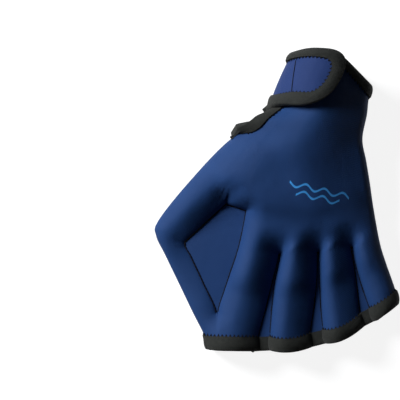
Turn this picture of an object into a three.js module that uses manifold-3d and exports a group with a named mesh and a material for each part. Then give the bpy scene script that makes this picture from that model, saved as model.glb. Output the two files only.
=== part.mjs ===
// Webbed swim glove for a left hand, lying palm down with the back of the hand up.
// Units are millimetres, +Z is up, the fingers point to -Y and the thumb to -X.
// The origin is the middle of the bounding box's underside.
import * as THREE from "three";
import { mergeVertices } from "three/addons/utils/BufferGeometryUtils.js";
import Module from "manifold-3d";

// The two sides of the glove, up and down from the seams
const BACK = 1;
const PALM = -1;

// Overall sizes of the pattern
const SPAN = 167; // thumb corner to the little finger's corner of the hem
const LENGTH = 207; // hem to the top of the wrist

// Cloth thicknesses and the clearance between two pieces
const NEOPRENE = 2.5;
const WEB_NEOPRENE = 3;
const TAPE = 0.9;
const GAP = 0.3;

// Heights over the ground and over the seam between back and palm
const SEAM_AT_FINGERS = 11;
const SEAM_AT_WRIST = 18;
const BACK_RISE = 25;
const PALM_DROP = 22;
const EDGE_ROUND = 34; // how far from a side seam the hand keeps rounding over
const FINGER_WEB_ROUND = 14; // the same beside a finger web
const THUMB_WEB_ROUND = 17; // the same beside the thumb web
const GROUND_ROUND = 3; // softness of the bend where the palm lies flat

// Webs
const WEB_HEM_WIDTHS = [9.2, 10.2, 7.4]; // index-middle, middle-ring, ring-little
const VALLEY_WIDTH = 1.4; // the valley's width where the web has ended
const WEB_LAP = 2; // how far a web reaches under the walls beside it

// Binding tape
const HEM_TAPE_WIDTH = 8.6;
const WRIST_TAPE_WIDTH = 7.5;
const INNER_TAPE_WIDTH = 5;
const SLIT_TAPE_FROM = 8.17; // the row where the slit is wide enough for its binding

// Wrist strap, with angles round the wrist counted from the thumb-side seam
const STRAP_WIDTH = 37.5;
const STRAP_ROOT_WIDTH = 32;
const STRAP_ROOT_ANGLE = -37; // it is sewn to the slit's binding from here
const STRAP_SEWN_ANGLE = -31; // to here
const STRAP_FREE_ANGLE = -24; // and is bound from here
const STRAP_WIDE_ANGLE = 52;
const STRAP_ROUND_ANGLE = 57;
const STRAP_TIP_ANGLE = 86;
const STRAP_ROOT_PLACE = 0.876; // the strap's middle, as a share of LENGTH
const STRAP_TIP_PLACE = 0.903;
const STRAP_SEWN_LIFT = 2.8; // underside of the strap over the palm where it is sewn on
const STRAP_LIFT = 3.9; // and over the rest of the wrist
const STRAP_TAPE_GAP = 0.5;
const PAD_THICKNESS = 3.1; // hook and loop, closed
const PAD_WIDTH = 13;
const PAD_FROM_ANGLE = 44;
const PAD_TO_ANGLE = 70;

// The pattern: each row is a line across the glove, with the places where the seams cross it.
// x is a share of SPAN from the thumb corner, y a share of LENGTH from the hem.
// webOpen is the finger webs' width there, as a share of their width at the hem.
const SECTIONS = [
  {
    at: "hem",
    thumbEdge: [0.21, 0.005],
    stripSeam: [0.235, 0.004],
    webMiddle: [0.249, 0.004],
    webSeam: [0.263, 0.004],
    valleys: [[0.447, 0.002], [0.669, 0.018], [0.873, 0.089]],
    littleEdge: [1.0, 0.155],
    webOpen: 1,
  },
  {
    at: "above the hem",
    thumbEdge: [0.204, 0.052],
    stripSeam: [0.23, 0.051],
    webMiddle: [0.246, 0.051],
    webSeam: [0.261, 0.05],
    valleys: [[0.448, 0.05], [0.663, 0.065], [0.859, 0.137]],
    littleEdge: [0.985, 0.203],
    webOpen: 0.9,
  },
  {
    at: "foot of the thumb web",
    thumbEdge: [0.157, 0.128],
    stripSeam: [0.251, 0.128],
    webMiddle: [0.255, 0.128],
    webSeam: [0.259, 0.128],
    valleys: [[0.464, 0.128], [0.665, 0.138], [0.841, 0.201]],
    littleEdge: [0.967, 0.247],
    webOpen: 0.57,
  },
  {
    at: "middle of the fingers",
    thumbEdge: [0.1, 0.224],
    stripSeam: [0.198, 0.224],
    webMiddle: [0.247, 0.224],
    webSeam: [0.296, 0.224],
    valleys: [[0.486, 0.227], [0.669, 0.234], [0.822, 0.272]],
    littleEdge: [0.948, 0.29],
    webOpen: 0.24,
  },
  {
    at: "knuckles",
    thumbEdge: [0.043, 0.319],
    stripSeam: [0.147, 0.313],
    webMiddle: [0.247, 0.329],
    webSeam: [0.345, 0.346],
    valleys: [[0.512, 0.323], [0.669, 0.329], [0.805, 0.346]],
    littleEdge: [0.922, 0.359],
    webOpen: 0,
  },
  {
    at: "top of the thumb web",
    thumbEdge: [0.006, 0.382],
    stripSeam: [0.122, 0.362],
    webMiddle: [0.291, 0.488],
    webSeam: [0.375, 0.466],
    valleys: [[0.532, 0.454], [0.673, 0.461], [0.785, 0.467]],
    littleEdge: [0.895, 0.477],
    webOpen: 0,
  },
  {
    at: "thumb",
    thumbEdge: [0.014, 0.431],
    stripSeam: [0.165, 0.438],
    webMiddle: [0.3, 0.53],
    webSeam: [0.385, 0.55],
    valleys: [[0.54, 0.54], [0.673, 0.543], [0.773, 0.546]],
    littleEdge: [0.881, 0.553],
    webOpen: 0,
  },
  {
    at: "root of the thumb",
    thumbEdge: [0.141, 0.56],
    stripSeam: [0.251, 0.55],
    webMiddle: [0.332, 0.599],
    webSeam: [0.406, 0.635],
    valleys: [[0.544, 0.622], [0.671, 0.625], [0.761, 0.625]],
    littleEdge: [0.865, 0.629],
    webOpen: 0,
  },
  {
    at: "foot of the wrist slit",
    thumbEdge: [0.314, 0.703],
    stripSeam: [0.365, 0.675],
    webMiddle: [0.406, 0.688],
    webSeam: [0.447, 0.698],
    valleys: [[0.561, 0.698], [0.671, 0.698], [0.752, 0.698]],
    littleEdge: [0.849, 0.701],
    webOpen: 0,
  },
];
// Over the slit, each panel has its own edge, and the back's lies further in.
const BACK_WRIST = [
  {
    at: "slit",
    thumbEdge: [0.487, 0.78],
    stripSeam: [0.512, 0.781],
    webMiddle: [0.527, 0.782],
    webSeam: [0.543, 0.783],
    valleys: [[0.602, 0.783], [0.679, 0.783], [0.765, 0.782]],
    littleEdge: [0.867, 0.78],
    webOpen: 0,
  },
  {
    at: "under the strap",
    thumbEdge: [0.555, 0.873],
    stripSeam: [0.577, 0.877],
    webMiddle: [0.592, 0.88],
    webSeam: [0.607, 0.883],
    valleys: [[0.65, 0.885], [0.704, 0.88], [0.773, 0.868]],
    littleEdge: [0.873, 0.825],
    webOpen: 0,
  },
  {
    at: "rim",
    thumbEdge: [0.614, 0.969],
    stripSeam: [0.632, 0.975],
    webMiddle: [0.643, 0.979],
    webSeam: [0.655, 0.982],
    valleys: [[0.683, 0.985], [0.718, 0.981], [0.777, 0.956]],
    littleEdge: [0.883, 0.872],
    webOpen: 0,
  },
];
const PALM_WRIST = [
  {
    at: "slit",
    thumbEdge: [0.486, 0.781],
    stripSeam: [0.51, 0.782],
    webMiddle: [0.526, 0.782],
    webSeam: [0.542, 0.783],
    valleys: [[0.602, 0.783], [0.679, 0.783], [0.765, 0.782]],
    littleEdge: [0.867, 0.78],
    webOpen: 0,
  },
  {
    at: "under the strap",
    thumbEdge: [0.55, 0.874],
    stripSeam: [0.573, 0.877],
    webMiddle: [0.588, 0.88],
    webSeam: [0.603, 0.882],
    valleys: [[0.648, 0.884], [0.703, 0.88], [0.773, 0.868]],
    littleEdge: [0.873, 0.825],
    webOpen: 0,
  },
  {
    at: "rim",
    thumbEdge: [0.602, 0.955],
    stripSeam: [0.62, 0.963],
    webMiddle: [0.632, 0.969],
    webSeam: [0.645, 0.975],
    valleys: [[0.676, 0.98], [0.713, 0.98], [0.777, 0.956]],
    littleEdge: [0.883, 0.872],
    webOpen: 0,
  },
];
const SLIT_FOOT = 8; // the row where the two panels part
const KNUCKLES = 4; // the row where the finger webs end
const WEB_FOOT = 2; // the rows where the thumb web begins and ends
const WEB_TOP = 5;
const WEB_HEM_ROW = 0.1; // where a finger web ends, a little inside the hem's binding
// The wrist's thumb side between slit foot and rim, and a little beyond it
const WRIST_SIDE = [
  [0.349, 0.731],
  [0.398, 0.756],
  [0.438, 0.777],
  [0.479, 0.796],
  [0.512, 0.826],
  [0.532, 0.863],
  [0.552, 0.9],
  [0.573, 0.936],
  [0.596, 0.975],
  [0.62, 1.03],
];
const LITTLE_SIDE_BEYOND = [0.897, 0.99];
const HEM_BEYOND = -0.06; // both side lines run on past the hem by this share of LENGTH

// The glove's fullness at places on the pattern, blended smoothly between them.
// back, palm and round are shares of BACK_RISE, PALM_DROP and EDGE_ROUND.
const FULLNESS = [
  { place: "index hem", x: 0.33, y: 0.07, back: 0.44, palm: 0.72, round: 0.38 },
  { place: "middle hem", x: 0.56, y: 0.07, back: 0.44, palm: 0.72, round: 0.38 },
  { place: "ring hem", x: 0.77, y: 0.12, back: 0.43, palm: 0.72, round: 0.36 },
  { place: "little hem", x: 0.94, y: 0.2, back: 0.4, palm: 0.7, round: 0.3 },
  { place: "index knuckle", x: 0.42, y: 0.32, back: 0.56, palm: 0.74, round: 0.45 },
  { place: "middle knuckle", x: 0.59, y: 0.35, back: 0.6, palm: 0.74, round: 0.5 },
  { place: "ring knuckle", x: 0.74, y: 0.37, back: 0.56, palm: 0.74, round: 0.5 },
  { place: "little knuckle", x: 0.86, y: 0.39, back: 0.5, palm: 0.74, round: 0.5 },
  { place: "palm", x: 0.61, y: 0.53, back: 0.86, palm: 0.86, round: 1 },
  { place: "palm's outer side", x: 0.8, y: 0.57, back: 0.82, palm: 0.86, round: 1 },
  { place: "thumb root", x: 0.39, y: 0.63, back: 0.86, palm: 0.86, round: 0.9 },
  { place: "neck of the wrist", x: 0.63, y: 0.71, back: 0.94, palm: 1, round: 1 },
  { place: "rim", x: 0.7, y: 0.91, back: 0.96, palm: 1, round: 1 },
  { place: "thumb", x: 0.17, y: 0.47, back: 0.6, palm: 0.6, round: 0.5 },
  { place: "thumb corner", x: 0.04, y: 0.41, back: 0.4, palm: 0.45, round: 0.34 },
  { place: "outer strip", x: 0.12, y: 0.25, back: 0.34, palm: 0.34, round: 0.4 },
  { place: "foot of the strip", x: 0.21, y: 0.12, back: 0.38, palm: 0.5, round: 0.4 },
];
const FULLNESS_SPREAD = 0.105 * SPAN;
const SEAM_RISE_FROM = 0.42 * LENGTH; // the seam climbs from the fingers' height to the wrist's
const SEAM_RISE_TO = 0.76 * LENGTH;

// How finely the pattern is meshed: steps between its lines and between its rows
const LINE_STEPS = [5, 1, 1, 6, 1, 6, 1, 6, 1, 5];
const ROW_STEPS = [1, 1, 2, 2, 3, 2, 2, 1, 2, 2, 2];
const SEAM_STEPS = 12; // points between rows on the lines that distances are measured to
const SEAM_SLACK = 0.06; // a point this close to a seam's line is on it
const NEAR_SEAM = 0.5; // how far beside a seam the wall's direction is taken
const SLOPE_STEP = 0.02; // half the stretch over which a face's slope is taken
const SMALLEST_STEP = 0.02; // finer steps than this are smoothed away where tapes join

const lerp = (a, b, t) => a + (b - a) * t;
const smooth = (a, b, v) => THREE.MathUtils.smoothstep(v, a, b);
const toPlan = ([x, y]) => new THREE.Vector2(x * SPAN, y * LENGTH);

// The pattern's lines, from the thumb edge to the little edge, each a list of points from hem to rim.
function patternLines(side) {
  const rows = [...SECTIONS, ...(side === BACK ? BACK_WRIST : PALM_WRIST)];
  const across = rows.map((row) => {
    const points = [row.thumbEdge, row.stripSeam, row.webMiddle, row.webSeam].map(toPlan);
    row.valleys.forEach((valley, i) => {
      const half = Math.max(VALLEY_WIDTH, row.webOpen * WEB_HEM_WIDTHS[i]) / 2;
      const middle = toPlan(valley);
      points.push(new THREE.Vector2(middle.x - half, middle.y));
      points.push(new THREE.Vector2(middle.x + half, middle.y));
    });
    points.push(toPlan(row.littleEdge));
    return points;
  });
  return across[0].map((_, line) => across.map((points) => points[line]));
}
const LINES = { [BACK]: patternLines(BACK), [PALM]: patternLines(PALM) };
const [THUMB_EDGE, STRIP_SEAM, WEB_MIDDLE, WEB_SEAM] = [0, 1, 2, 3];
const FIRST_VALLEY = 4;
const LITTLE_EDGE = 10;
const RIM = SECTIONS.length + 2;

// A point on a line at a row number that may lie between two rows.
function alongLine(points, row) {
  const i = Math.min(Math.floor(row), points.length - 2);
  const at = (k) => points[THREE.MathUtils.clamp(k, 0, points.length - 1)];
  const [a, b, c, d, t] = [at(i - 1), at(i), at(i + 1), at(i + 2), row - i];
  const bend = (p, q, r, s) =>
    0.5 * (2 * q + (r - p) * t + (2 * p - 5 * q + 4 * r - s) * t * t + (3 * q - p - 3 * r + s) * t * t * t);
  return new THREE.Vector2(bend(a.x, b.x, c.x, d.x), bend(a.y, b.y, c.y, d.y));
}
function planPoint(side, line, row) {
  const i = Math.min(Math.floor(line), LITTLE_EDGE - 1);
  return alongLine(LINES[side][i], row).lerp(alongLine(LINES[side][i + 1], row), line - i);
}

// The lines that hold back and palm together. A web's line runs up one side of it and down the other.
function lineBetween(line, from, to) {
  const steps = Math.round(Math.abs(to - from) * SEAM_STEPS);
  return Array.from({ length: steps + 1 }, (_, k) => planPoint(BACK, line, lerp(from, to, k / steps)));
}
function webOutline(left, right, from, to) {
  return [...lineBetween(left, from, to), ...lineBetween(right, to, from)];
}
function thumbWebOutline() {
  const middleTop = planPoint(BACK, WEB_MIDDLE, WEB_TOP);
  return [
    ...lineBetween(STRIP_SEAM, WEB_FOOT, WEB_TOP),
    middleTop,
    ...lineBetween(WEB_SEAM, WEB_TOP, WEB_FOOT),
  ];
}
const pastHem = (point) => new THREE.Vector2(point.x, point.y + HEM_BEYOND * LENGTH);
const thumbSide = lineBetween(THUMB_EDGE, 0, SLIT_FOOT);
const littleSide = lineBetween(LITTLE_EDGE, 0, RIM);
const wristSide = Array.from({ length: (WRIST_SIDE.length - 1) * SEAM_STEPS + 1 }, (_, k) =>
  alongLine(WRIST_SIDE.map(toPlan), k / SEAM_STEPS),
);
const SIDE_SEAMS = [
  [pastHem(thumbSide[0]), ...thumbSide, ...wristSide],
  [pastHem(littleSide[0]), ...littleSide, toPlan(LITTLE_SIDE_BEYOND)],
];
const WEB_SEAMS = [
  { line: thumbWebOutline(), round: THUMB_WEB_ROUND },
  ...[0, 2, 4].map((k) => ({
    line: webOutline(FIRST_VALLEY + k, FIRST_VALLEY + k + 1, 0, KNUCKLES),
    round: FINGER_WEB_ROUND,
  })),
];

function distanceTo(line, x, y) {
  let nearest = Infinity;
  for (let i = 0; i + 1 < line.length; i++) {
    const [a, b] = [line[i], line[i + 1]];
    const [dx, dy] = [b.x - a.x, b.y - a.y];
    const t = THREE.MathUtils.clamp(((x - a.x) * dx + (y - a.y) * dy) / (dx * dx + dy * dy || 1), 0, 1);
    nearest = Math.min(nearest, Math.hypot(x - a.x - dx * t, y - a.y - dy * t));
  }
  return nearest;
}

function fullnessAt(x, y) {
  const sum = { back: 0, palm: 0, round: 0, weight: 0 };
  for (const spot of FULLNESS) {
    const away = Math.hypot(x - spot.x * SPAN, y - spot.y * LENGTH) / FULLNESS_SPREAD;
    const weight = Math.exp(-away * away) + 1e-9;
    sum.back += weight * spot.back;
    sum.palm += weight * spot.palm;
    sum.round += weight * spot.round;
    sum.weight += weight;
  }
  return {
    back: (BACK_RISE * sum.back) / sum.weight,
    palm: (PALM_DROP * sum.palm) / sum.weight,
    round: (EDGE_ROUND * sum.round) / sum.weight,
  };
}

const seamHeight = (y) => lerp(SEAM_AT_FINGERS, SEAM_AT_WRIST, smooth(SEAM_RISE_FROM, SEAM_RISE_TO, y));
// A quarter round: 0 and upright at a seam, 1 and level from a distance of 1.
function roundOver(distance, round) {
  const s = THREE.MathUtils.clamp((distance - SEAM_SLACK) / round, 0, 1);
  return Math.sqrt(s * (2 - s));
}
// The palm lies flat one thickness of tape above the ground, because the bindings lie on it.
function aboveGround(height) {
  const z = height - GAP - TAPE;
  if (z > GROUND_ROUND) return height;
  return GAP + TAPE + (z < -GROUND_ROUND ? 0 : (z + GROUND_ROUND) ** 2 / (4 * GROUND_ROUND));
}

// Height of a panel's outer face. Every seam pinches the cloth down to it.
function faceHeight(side, x, y) {
  const full = fullnessAt(x, y);
  const toSides = SIDE_SEAMS.map((line) => distanceTo(line, x, y));
  const toWebs = WEB_SEAMS.map((seam) => distanceTo(seam.line, x, y));
  let pinch = 1;
  for (const d of toSides) pinch *= roundOver(d, full.round);
  toWebs.forEach((d, i) => {
    pinch *= roundOver(d, WEB_SEAMS[i].round);
  });
  const nearSide = Math.min(...toSides);
  const webShare = nearSide / (nearSide + Math.min(...toWebs) + 1e-9);
  const parting = GAP / 2 + (WEB_NEOPRENE / 2 + GAP / 2) * webShare * webShare;
  if (side === BACK) return seamHeight(y) + parting + full.back * pinch;
  return aboveGround(seamHeight(y) - parting - full.palm * pinch);
}
const facePoint = (side, p) => new THREE.Vector3(p.x, p.y, faceHeight(side, p.x, p.y));
function faceNormal(side, p) {
  const d = SLOPE_STEP;
  const slopeX = (faceHeight(side, p.x + d, p.y) - faceHeight(side, p.x - d, p.y)) / (2 * d);
  const slopeY = (faceHeight(side, p.x, p.y + d) - faceHeight(side, p.x, p.y - d)) / (2 * d);
  return new THREE.Vector3(-slopeX * side, -slopeY * side, side).normalize();
}

// A closed shell between two grids of points. open(i, j) tells which cells are left out, and turned(j)
// in which columns the cells are split along their other diagonal.
function shell(outer, inner, open = () => false, turned = () => false) {
  const [rows, columns] = [outer.length, outer[0].length];
  const positions = [...outer.flat(), ...inner.flat()].flatMap((p) => p.toArray());
  const index = [];
  const at = (i, j, below) => (below ? rows * columns : 0) + i * columns + j;
  const cell = (i, j) => i >= 0 && j >= 0 && i < rows - 1 && j < columns - 1 && !open(i, j);
  const wall = (a, b) => index.push(at(...a), at(...a, 1), at(...b), at(...b), at(...a, 1), at(...b, 1));
  for (let i = 0; i < rows - 1; i++)
    for (let j = 0; j < columns - 1; j++) {
      if (!cell(i, j)) continue;
      const [a, b, c, d] = [[i, j], [i, j + 1], [i + 1, j + 1], [i + 1, j]];
      const halves = turned(j) ? [a, b, d, b, c, d] : [a, b, c, a, c, d];
      index.push(...halves.map((corner) => at(...corner)));
      index.push(...halves.toReversed().map((corner) => at(...corner, 1)));
      if (!cell(i - 1, j)) wall(a, b);
      if (!cell(i, j + 1)) wall(b, c);
      if (!cell(i + 1, j)) wall(c, d);
      if (!cell(i, j - 1)) wall(d, a);
    }
  const geometry = new THREE.BufferGeometry();
  geometry.setAttribute("position", new THREE.Float32BufferAttribute(positions, 3));
  geometry.setIndex(index);
  return facingOut(mergeVertices(geometry, 1e-4));
}
function facingOut(geometry) {
  const p = geometry.attributes.position;
  const index = geometry.index.array;
  const [a, b, c] = [new THREE.Vector3(), new THREE.Vector3(), new THREE.Vector3()];
  let volume = 0;
  for (let i = 0; i < index.length; i += 3) {
    [a, b, c].forEach((v, k) => v.fromBufferAttribute(p, index[i + k]));
    volume += a.dot(b.cross(c));
  }
  if (volume < 0)
    for (let i = 0; i < index.length; i += 3) [index[i], index[i + 1]] = [index[i + 1], index[i]];
  return geometry;
}

// Numbers of the lines and rows that are meshed. Tubes get finer steps towards their seams.
function spaced(steps, share) {
  const places = [];
  steps.forEach((count, i) => {
    for (let k = 0; k < count; k++) places.push(i + share(k / count, i));
  });
  return [...places, steps.length];
}
const roundShare = (t) => (1 - Math.cos(Math.PI * t)) / 2;
const LINE_PLACES = spaced(LINE_STEPS, (t, i) => (LINE_STEPS[i] > 3 ? roundShare(t) : t));
const ROW_PLACES = spaced(ROW_STEPS, (t, i) => (i === KNUCKLES || i === WEB_TOP ? t * t : t));

// The cells of the pattern that a web fills, so that back and palm leave them open.
function isWeb(line, row) {
  const finger = row < KNUCKLES && line > FIRST_VALLEY && line < LITTLE_EDGE && Math.floor(line) % 2 === 0;
  const thumb = row > WEB_FOOT && row < WEB_TOP && line > STRIP_SEAM && line < WEB_SEAM;
  return finger || thumb;
}
const between = (places, i) => (places[i] + places[i + 1]) / 2;
const CORNER_STEP = 0.04; // how far round a point its neighbours are looked at, in lines and rows

// Whether a point of the pattern lies on a seam, where the wall stands upright.
function onSeam(line, row) {
  if (line === LITTLE_EDGE || (line === THUMB_EDGE && row <= SLIT_FOOT)) return true;
  const sides = [-CORNER_STEP, CORNER_STEP];
  return sides.some((a) => sides.some((b) => isWeb(line + a, row + b)));
}
// The outward direction at a point of the pattern, level where the point lies on a seam.
function patternNormal(side, line, row) {
  const point = planPoint(side, line, row);
  if (!onSeam(line, row)) return faceNormal(side, point);
  const sides = [-CORNER_STEP, CORNER_STEP];
  const inside = new THREE.Vector2();
  let count = 0;
  for (const a of sides)
    for (const b of sides) {
      const [l, r] = [line + a, row + b];
      if (l < 0 || l > LITTLE_EDGE || r < 0 || r > RIM || isWeb(l, r)) continue;
      inside.add(planPoint(side, l, r));
      count++;
    }
  const normal = faceNormal(side, inside.divideScalar(count));
  return normal.setZ(0).normalize();
}
const patternPoint = (side, line, row) => facePoint(side, planPoint(side, line, row));

// The meshed pattern of a panel. At any line and row number it gives a point off the panel's outer face,
// on the flat of the mesh there. Past the pattern's edges it runs straight on.
function netOf(side) {
  const grid = (f) => ROW_PLACES.map((row) => LINE_PLACES.map((line) => f(side, line, row)));
  const points = grid((_, line, row) => facePoint(side, planPoint(side, line, row)));
  const normals = grid(patternNormal);
  const vertex = (i, j, off) => points[i][j].clone().addScaledVector(normals[i][j], off);
  const cellOf = (places, place) => {
    const i = THREE.MathUtils.clamp(places.findIndex((p) => p > place) - 1, 0, places.length - 2);
    const cell = place >= places.at(-1) ? places.length - 2 : i;
    return [cell, (place - places[cell]) / (places[cell + 1] - places[cell])];
  };
  const at = (line, row, off) => {
    const [i, t] = cellOf(ROW_PLACES, row);
    const [j, u] = cellOf(LINE_PLACES, line);
    const near = vertex(i, j, off).lerp(vertex(i, j + 1, off), u);
    return near.lerp(vertex(i + 1, j, off).lerp(vertex(i + 1, j + 1, off), u), t);
  };
  return { at, sheet: (off) => points.map((row, i) => row.map((_, j) => vertex(i, j, off))) };
}
const NET = { [BACK]: netOf(BACK), [PALM]: netOf(PALM) };
const panel = (side) =>
  shell(NET[side].sheet(0), NET[side].sheet(-NEOPRENE), (i, j) =>
    isWeb(between(LINE_PLACES, j), between(ROW_PLACES, i)),
  );

// A web is a level plate on the seam, lapped under the walls around it.
function web(left, right, foot, top) {
  const rows = [foot || WEB_HEM_ROW, ...ROW_PLACES.filter((row) => row > foot && row <= top)];
  const lines = LINE_PLACES.filter((line) => line >= left && line <= right);
  const lapped = (from, towards) => from.clone().add(towards.clone().sub(from).setLength(WEB_LAP));
  const across = (row) => {
    const points = lines.map((line) => planPoint(BACK, line, row));
    const before = lapped(points[0], planPoint(BACK, left - 1, row));
    const after = lapped(points.at(-1), planPoint(BACK, right + 1, row));
    return [before, ...points, after];
  };
  const beyond = (row, next) => across(row).map((point, i) => lapped(point, across(next)[i]));
  const plan = rows.map(across);
  plan.push(beyond(top, top + 1));
  if (foot > 0) plan.unshift(beyond(foot, foot - 1));
  const lifted = (p, lift) => new THREE.Vector3(p.x, p.y, seamHeight(p.y) + lift);
  const layer = (lift) => plan.map((points) => points.map((p) => lifted(p, lift)));
  return shell(layer(WEB_NEOPRENE / 2), layer(-WEB_NEOPRENE / 2));
}

// Binding tape folded round a panel's edge, in sections across the edge. depth is how far the tape
// reaches into the panel, and at(distance, off) a point that far in from the edge and off the outer face.
const NEAR = GAP;
const FAR = GAP + TAPE;
// turned tells for its outer leg, edge and inner leg how to split the cells to lie along the panel's.
function foldedTape(sections, turned) {
  const outerLeg = sections[0].depths.length;
  const layer = (clear) =>
    sections.map(({ at, depths }) => [
      ...depths.toReversed().map((depth) => at(depth, clear)),
      at(-clear, clear),
      at(-clear, -NEOPRENE - clear),
      at(INNER_TAPE_WIDTH, -NEOPRENE - clear),
    ]);
  return shell(layer(FAR), layer(NEAR), undefined, (j) => turned[Math.max(0, j - outerLeg + 1)]);
}
// Across the hem or the rim, from the pattern's end row to the next meshed row.
function rowSection(side, line, row, nextRow) {
  const net = NET[side];
  const length = net.at(line, row, 0).distanceTo(net.at(line, nextRow, 0));
  return (distance, off) => net.at(line, row + ((nextRow - row) * distance) / length, off);
}
function rowTape(side, lines, row, nextRow, width) {
  const sections = lines.map((line) => ({ at: rowSection(side, line, row, nextRow), depths: [width] }));
  return foldedTape(sections, row < nextRow ? [true, true, false] : [false, false, true]);
}
// Across the slit's edge, on the meshed lines beside it.
function slitTape(side) {
  const net = NET[side];
  const lines = LINE_PLACES.filter((line) => line > 0 && line <= STRIP_SEAM);
  const rows = [SLIT_TAPE_FROM, ...ROW_PLACES.filter((row) => row > SLIT_TAPE_FROM)];
  const end = net.at(0, RIM, 0).distanceTo(net.at(0, ROW_PLACES.at(-2), 0));
  rows.push(RIM + ((RIM - ROW_PLACES.at(-2)) * FAR) / end);
  const sections = rows.map((row) => {
    const perLine = net.at(0, row, 0).distanceTo(net.at(lines[0], row, 0)) / lines[0];
    const lineAt = (depth) => (depth < 0 ? depth / perLine : depth);
    const innerLeg = lines[1] * 2;
    const at = (depth, off) => net.at(depth === INNER_TAPE_WIDTH ? innerLeg : lineAt(depth), row, off);
    return { depths: lines, at };
  });
  return foldedTape(sections, [true, false, false]);
}

// Over a finger web the hem's tape is a shelf on the web with a wall before the web's end.
function webHem(side, left) {
  const shelfLift = WEB_NEOPRENE / 2 + 2 * GAP;
  const at = (line, distance, lift, sideways = 0) => {
    const p = rowSection(side, line, 0, ROW_PLACES[1])(distance, 0);
    const across = NET[side].at(left + 1, 0, 0).sub(NET[side].at(left, 0, 0)).setZ(0).normalize();
    p.addScaledVector(across, sideways);
    return p.setZ(seamHeight(p.y) + side * lift);
  };
  const intoLeg = GAP + TAPE / 2;
  const shelfLayer = (lift) =>
    [[left, intoLeg], [left + 1, -intoLeg]].map(([line, sideways]) => [
      at(line, HEM_TAPE_WIDTH, lift, sideways),
      at(line, -FAR, lift, sideways),
    ]);
  const ends = [[left, -NEOPRENE - FAR], [left, 0], [left + 1, 0], [left + 1, -NEOPRENE - FAR]];
  const wallLayer = (past) =>
    ends.map(([line, off]) => {
      const p = rowSection(side, line, 0, ROW_PLACES[1])(-past, off);
      return [shelfLift + TAPE, GAP / 2].map((lift) => p.clone().setZ(seamHeight(p.y) + side * lift));
    });
  return [shell(shelfLayer(shelfLift + TAPE), shelfLayer(shelfLift)), shell(wallLayer(FAR), wallLayer(NEAR))];
}
const TUBES = [
  [THUMB_EDGE, FIRST_VALLEY],
  [FIRST_VALLEY + 1, FIRST_VALLEY + 2],
  [FIRST_VALLEY + 3, FIRST_VALLEY + 4],
  [FIRST_VALLEY + 5, LITTLE_EDGE],
];
const FINGER_WEBS = [FIRST_VALLEY, FIRST_VALLEY + 2, FIRST_VALLEY + 4];
const meshedLines = (from, to) => LINE_PLACES.filter((line) => line >= from && line <= to);

const kernel = await Module();
kernel.setup();
const { Manifold, Mesh: SolidMesh } = kernel;
function joined(geometries) {
  const solids = geometries.map((geometry) => {
    const vertProperties = new Float32Array(geometry.attributes.position.array);
    const triVerts = new Uint32Array(geometry.index.array);
    return new Manifold(new SolidMesh({ numProp: 3, vertProperties, triVerts }));
  });
  const mesh = Manifold.union(solids).simplify(SMALLEST_STEP).getMesh();
  const geometry = new THREE.BufferGeometry();
  geometry.setAttribute("position", new THREE.BufferAttribute(mesh.vertProperties, mesh.numProp));
  geometry.setIndex([...mesh.triVerts]);
  return geometry;
}
function hemBinding(side) {
  const tubes = TUBES.map(([from, to]) =>
    rowTape(side, meshedLines(from, to), 0, ROW_PLACES[1], HEM_TAPE_WIDTH),
  );
  return joined([...tubes, ...FINGER_WEBS.flatMap((left) => webHem(side, left))]);
}
function wristBinding(side) {
  const rim = rowTape(side, meshedLines(THUMB_EDGE, LITTLE_EDGE), RIM, ROW_PLACES.at(-2), WRIST_TAPE_WIDTH);
  return joined([rim, slitTape(side)]);
}

// The strap follows the wrist at a distance. Its middle line rises a little towards the tip.
function wristSideAt(y) {
  const i = THREE.MathUtils.clamp(wristSide.findIndex((p) => p.y > y) - 1, 0, wristSide.length - 2);
  const [a, b] = [wristSide[i], wristSide[i + 1]];
  return lerp(a.x, b.x, (y - a.y) / (b.y - a.y));
}
const aroundWrist = (degrees) => EDGE_ROUND * (1 - Math.cos(THREE.MathUtils.degToRad(degrees)));
const strapMiddle = (angle) =>
  LENGTH * lerp(STRAP_ROOT_PLACE, STRAP_TIP_PLACE, smooth(0, STRAP_WIDE_ANGLE, angle));
const strapHalf = (angle) => lerp(STRAP_ROOT_WIDTH, STRAP_WIDTH, smooth(-20, STRAP_WIDE_ANGLE, angle)) / 2;
function strapLift(angle) {
  return lerp(STRAP_SEWN_LIFT, STRAP_LIFT, smooth(STRAP_SEWN_ANGLE, STRAP_FREE_ANGLE, angle));
}

// A point over the wrist: reach is the distance in plan from the thumb side, on the palm if below is set.
function overWrist(place, lift) {
  const side = place.below ? PALM : BACK;
  const sideX = wristSideAt(place.y);
  const point = new THREE.Vector2(sideX + place.reach, place.y);
  const upright = place.reach < SEAM_SLACK;
  const normal = faceNormal(side, upright ? new THREE.Vector2(sideX + NEAR_SEAM, place.y) : point);
  if (upright) normal.setZ(0).normalize();
  return facePoint(side, point).addScaledVector(normal, lift);
}
const strapPlace = (angle, share) => ({
  reach: aroundWrist(angle),
  below: angle < 0,
  y: strapMiddle(angle) + share * strapHalf(angle),
  lift: strapLift(angle),
});
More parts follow.
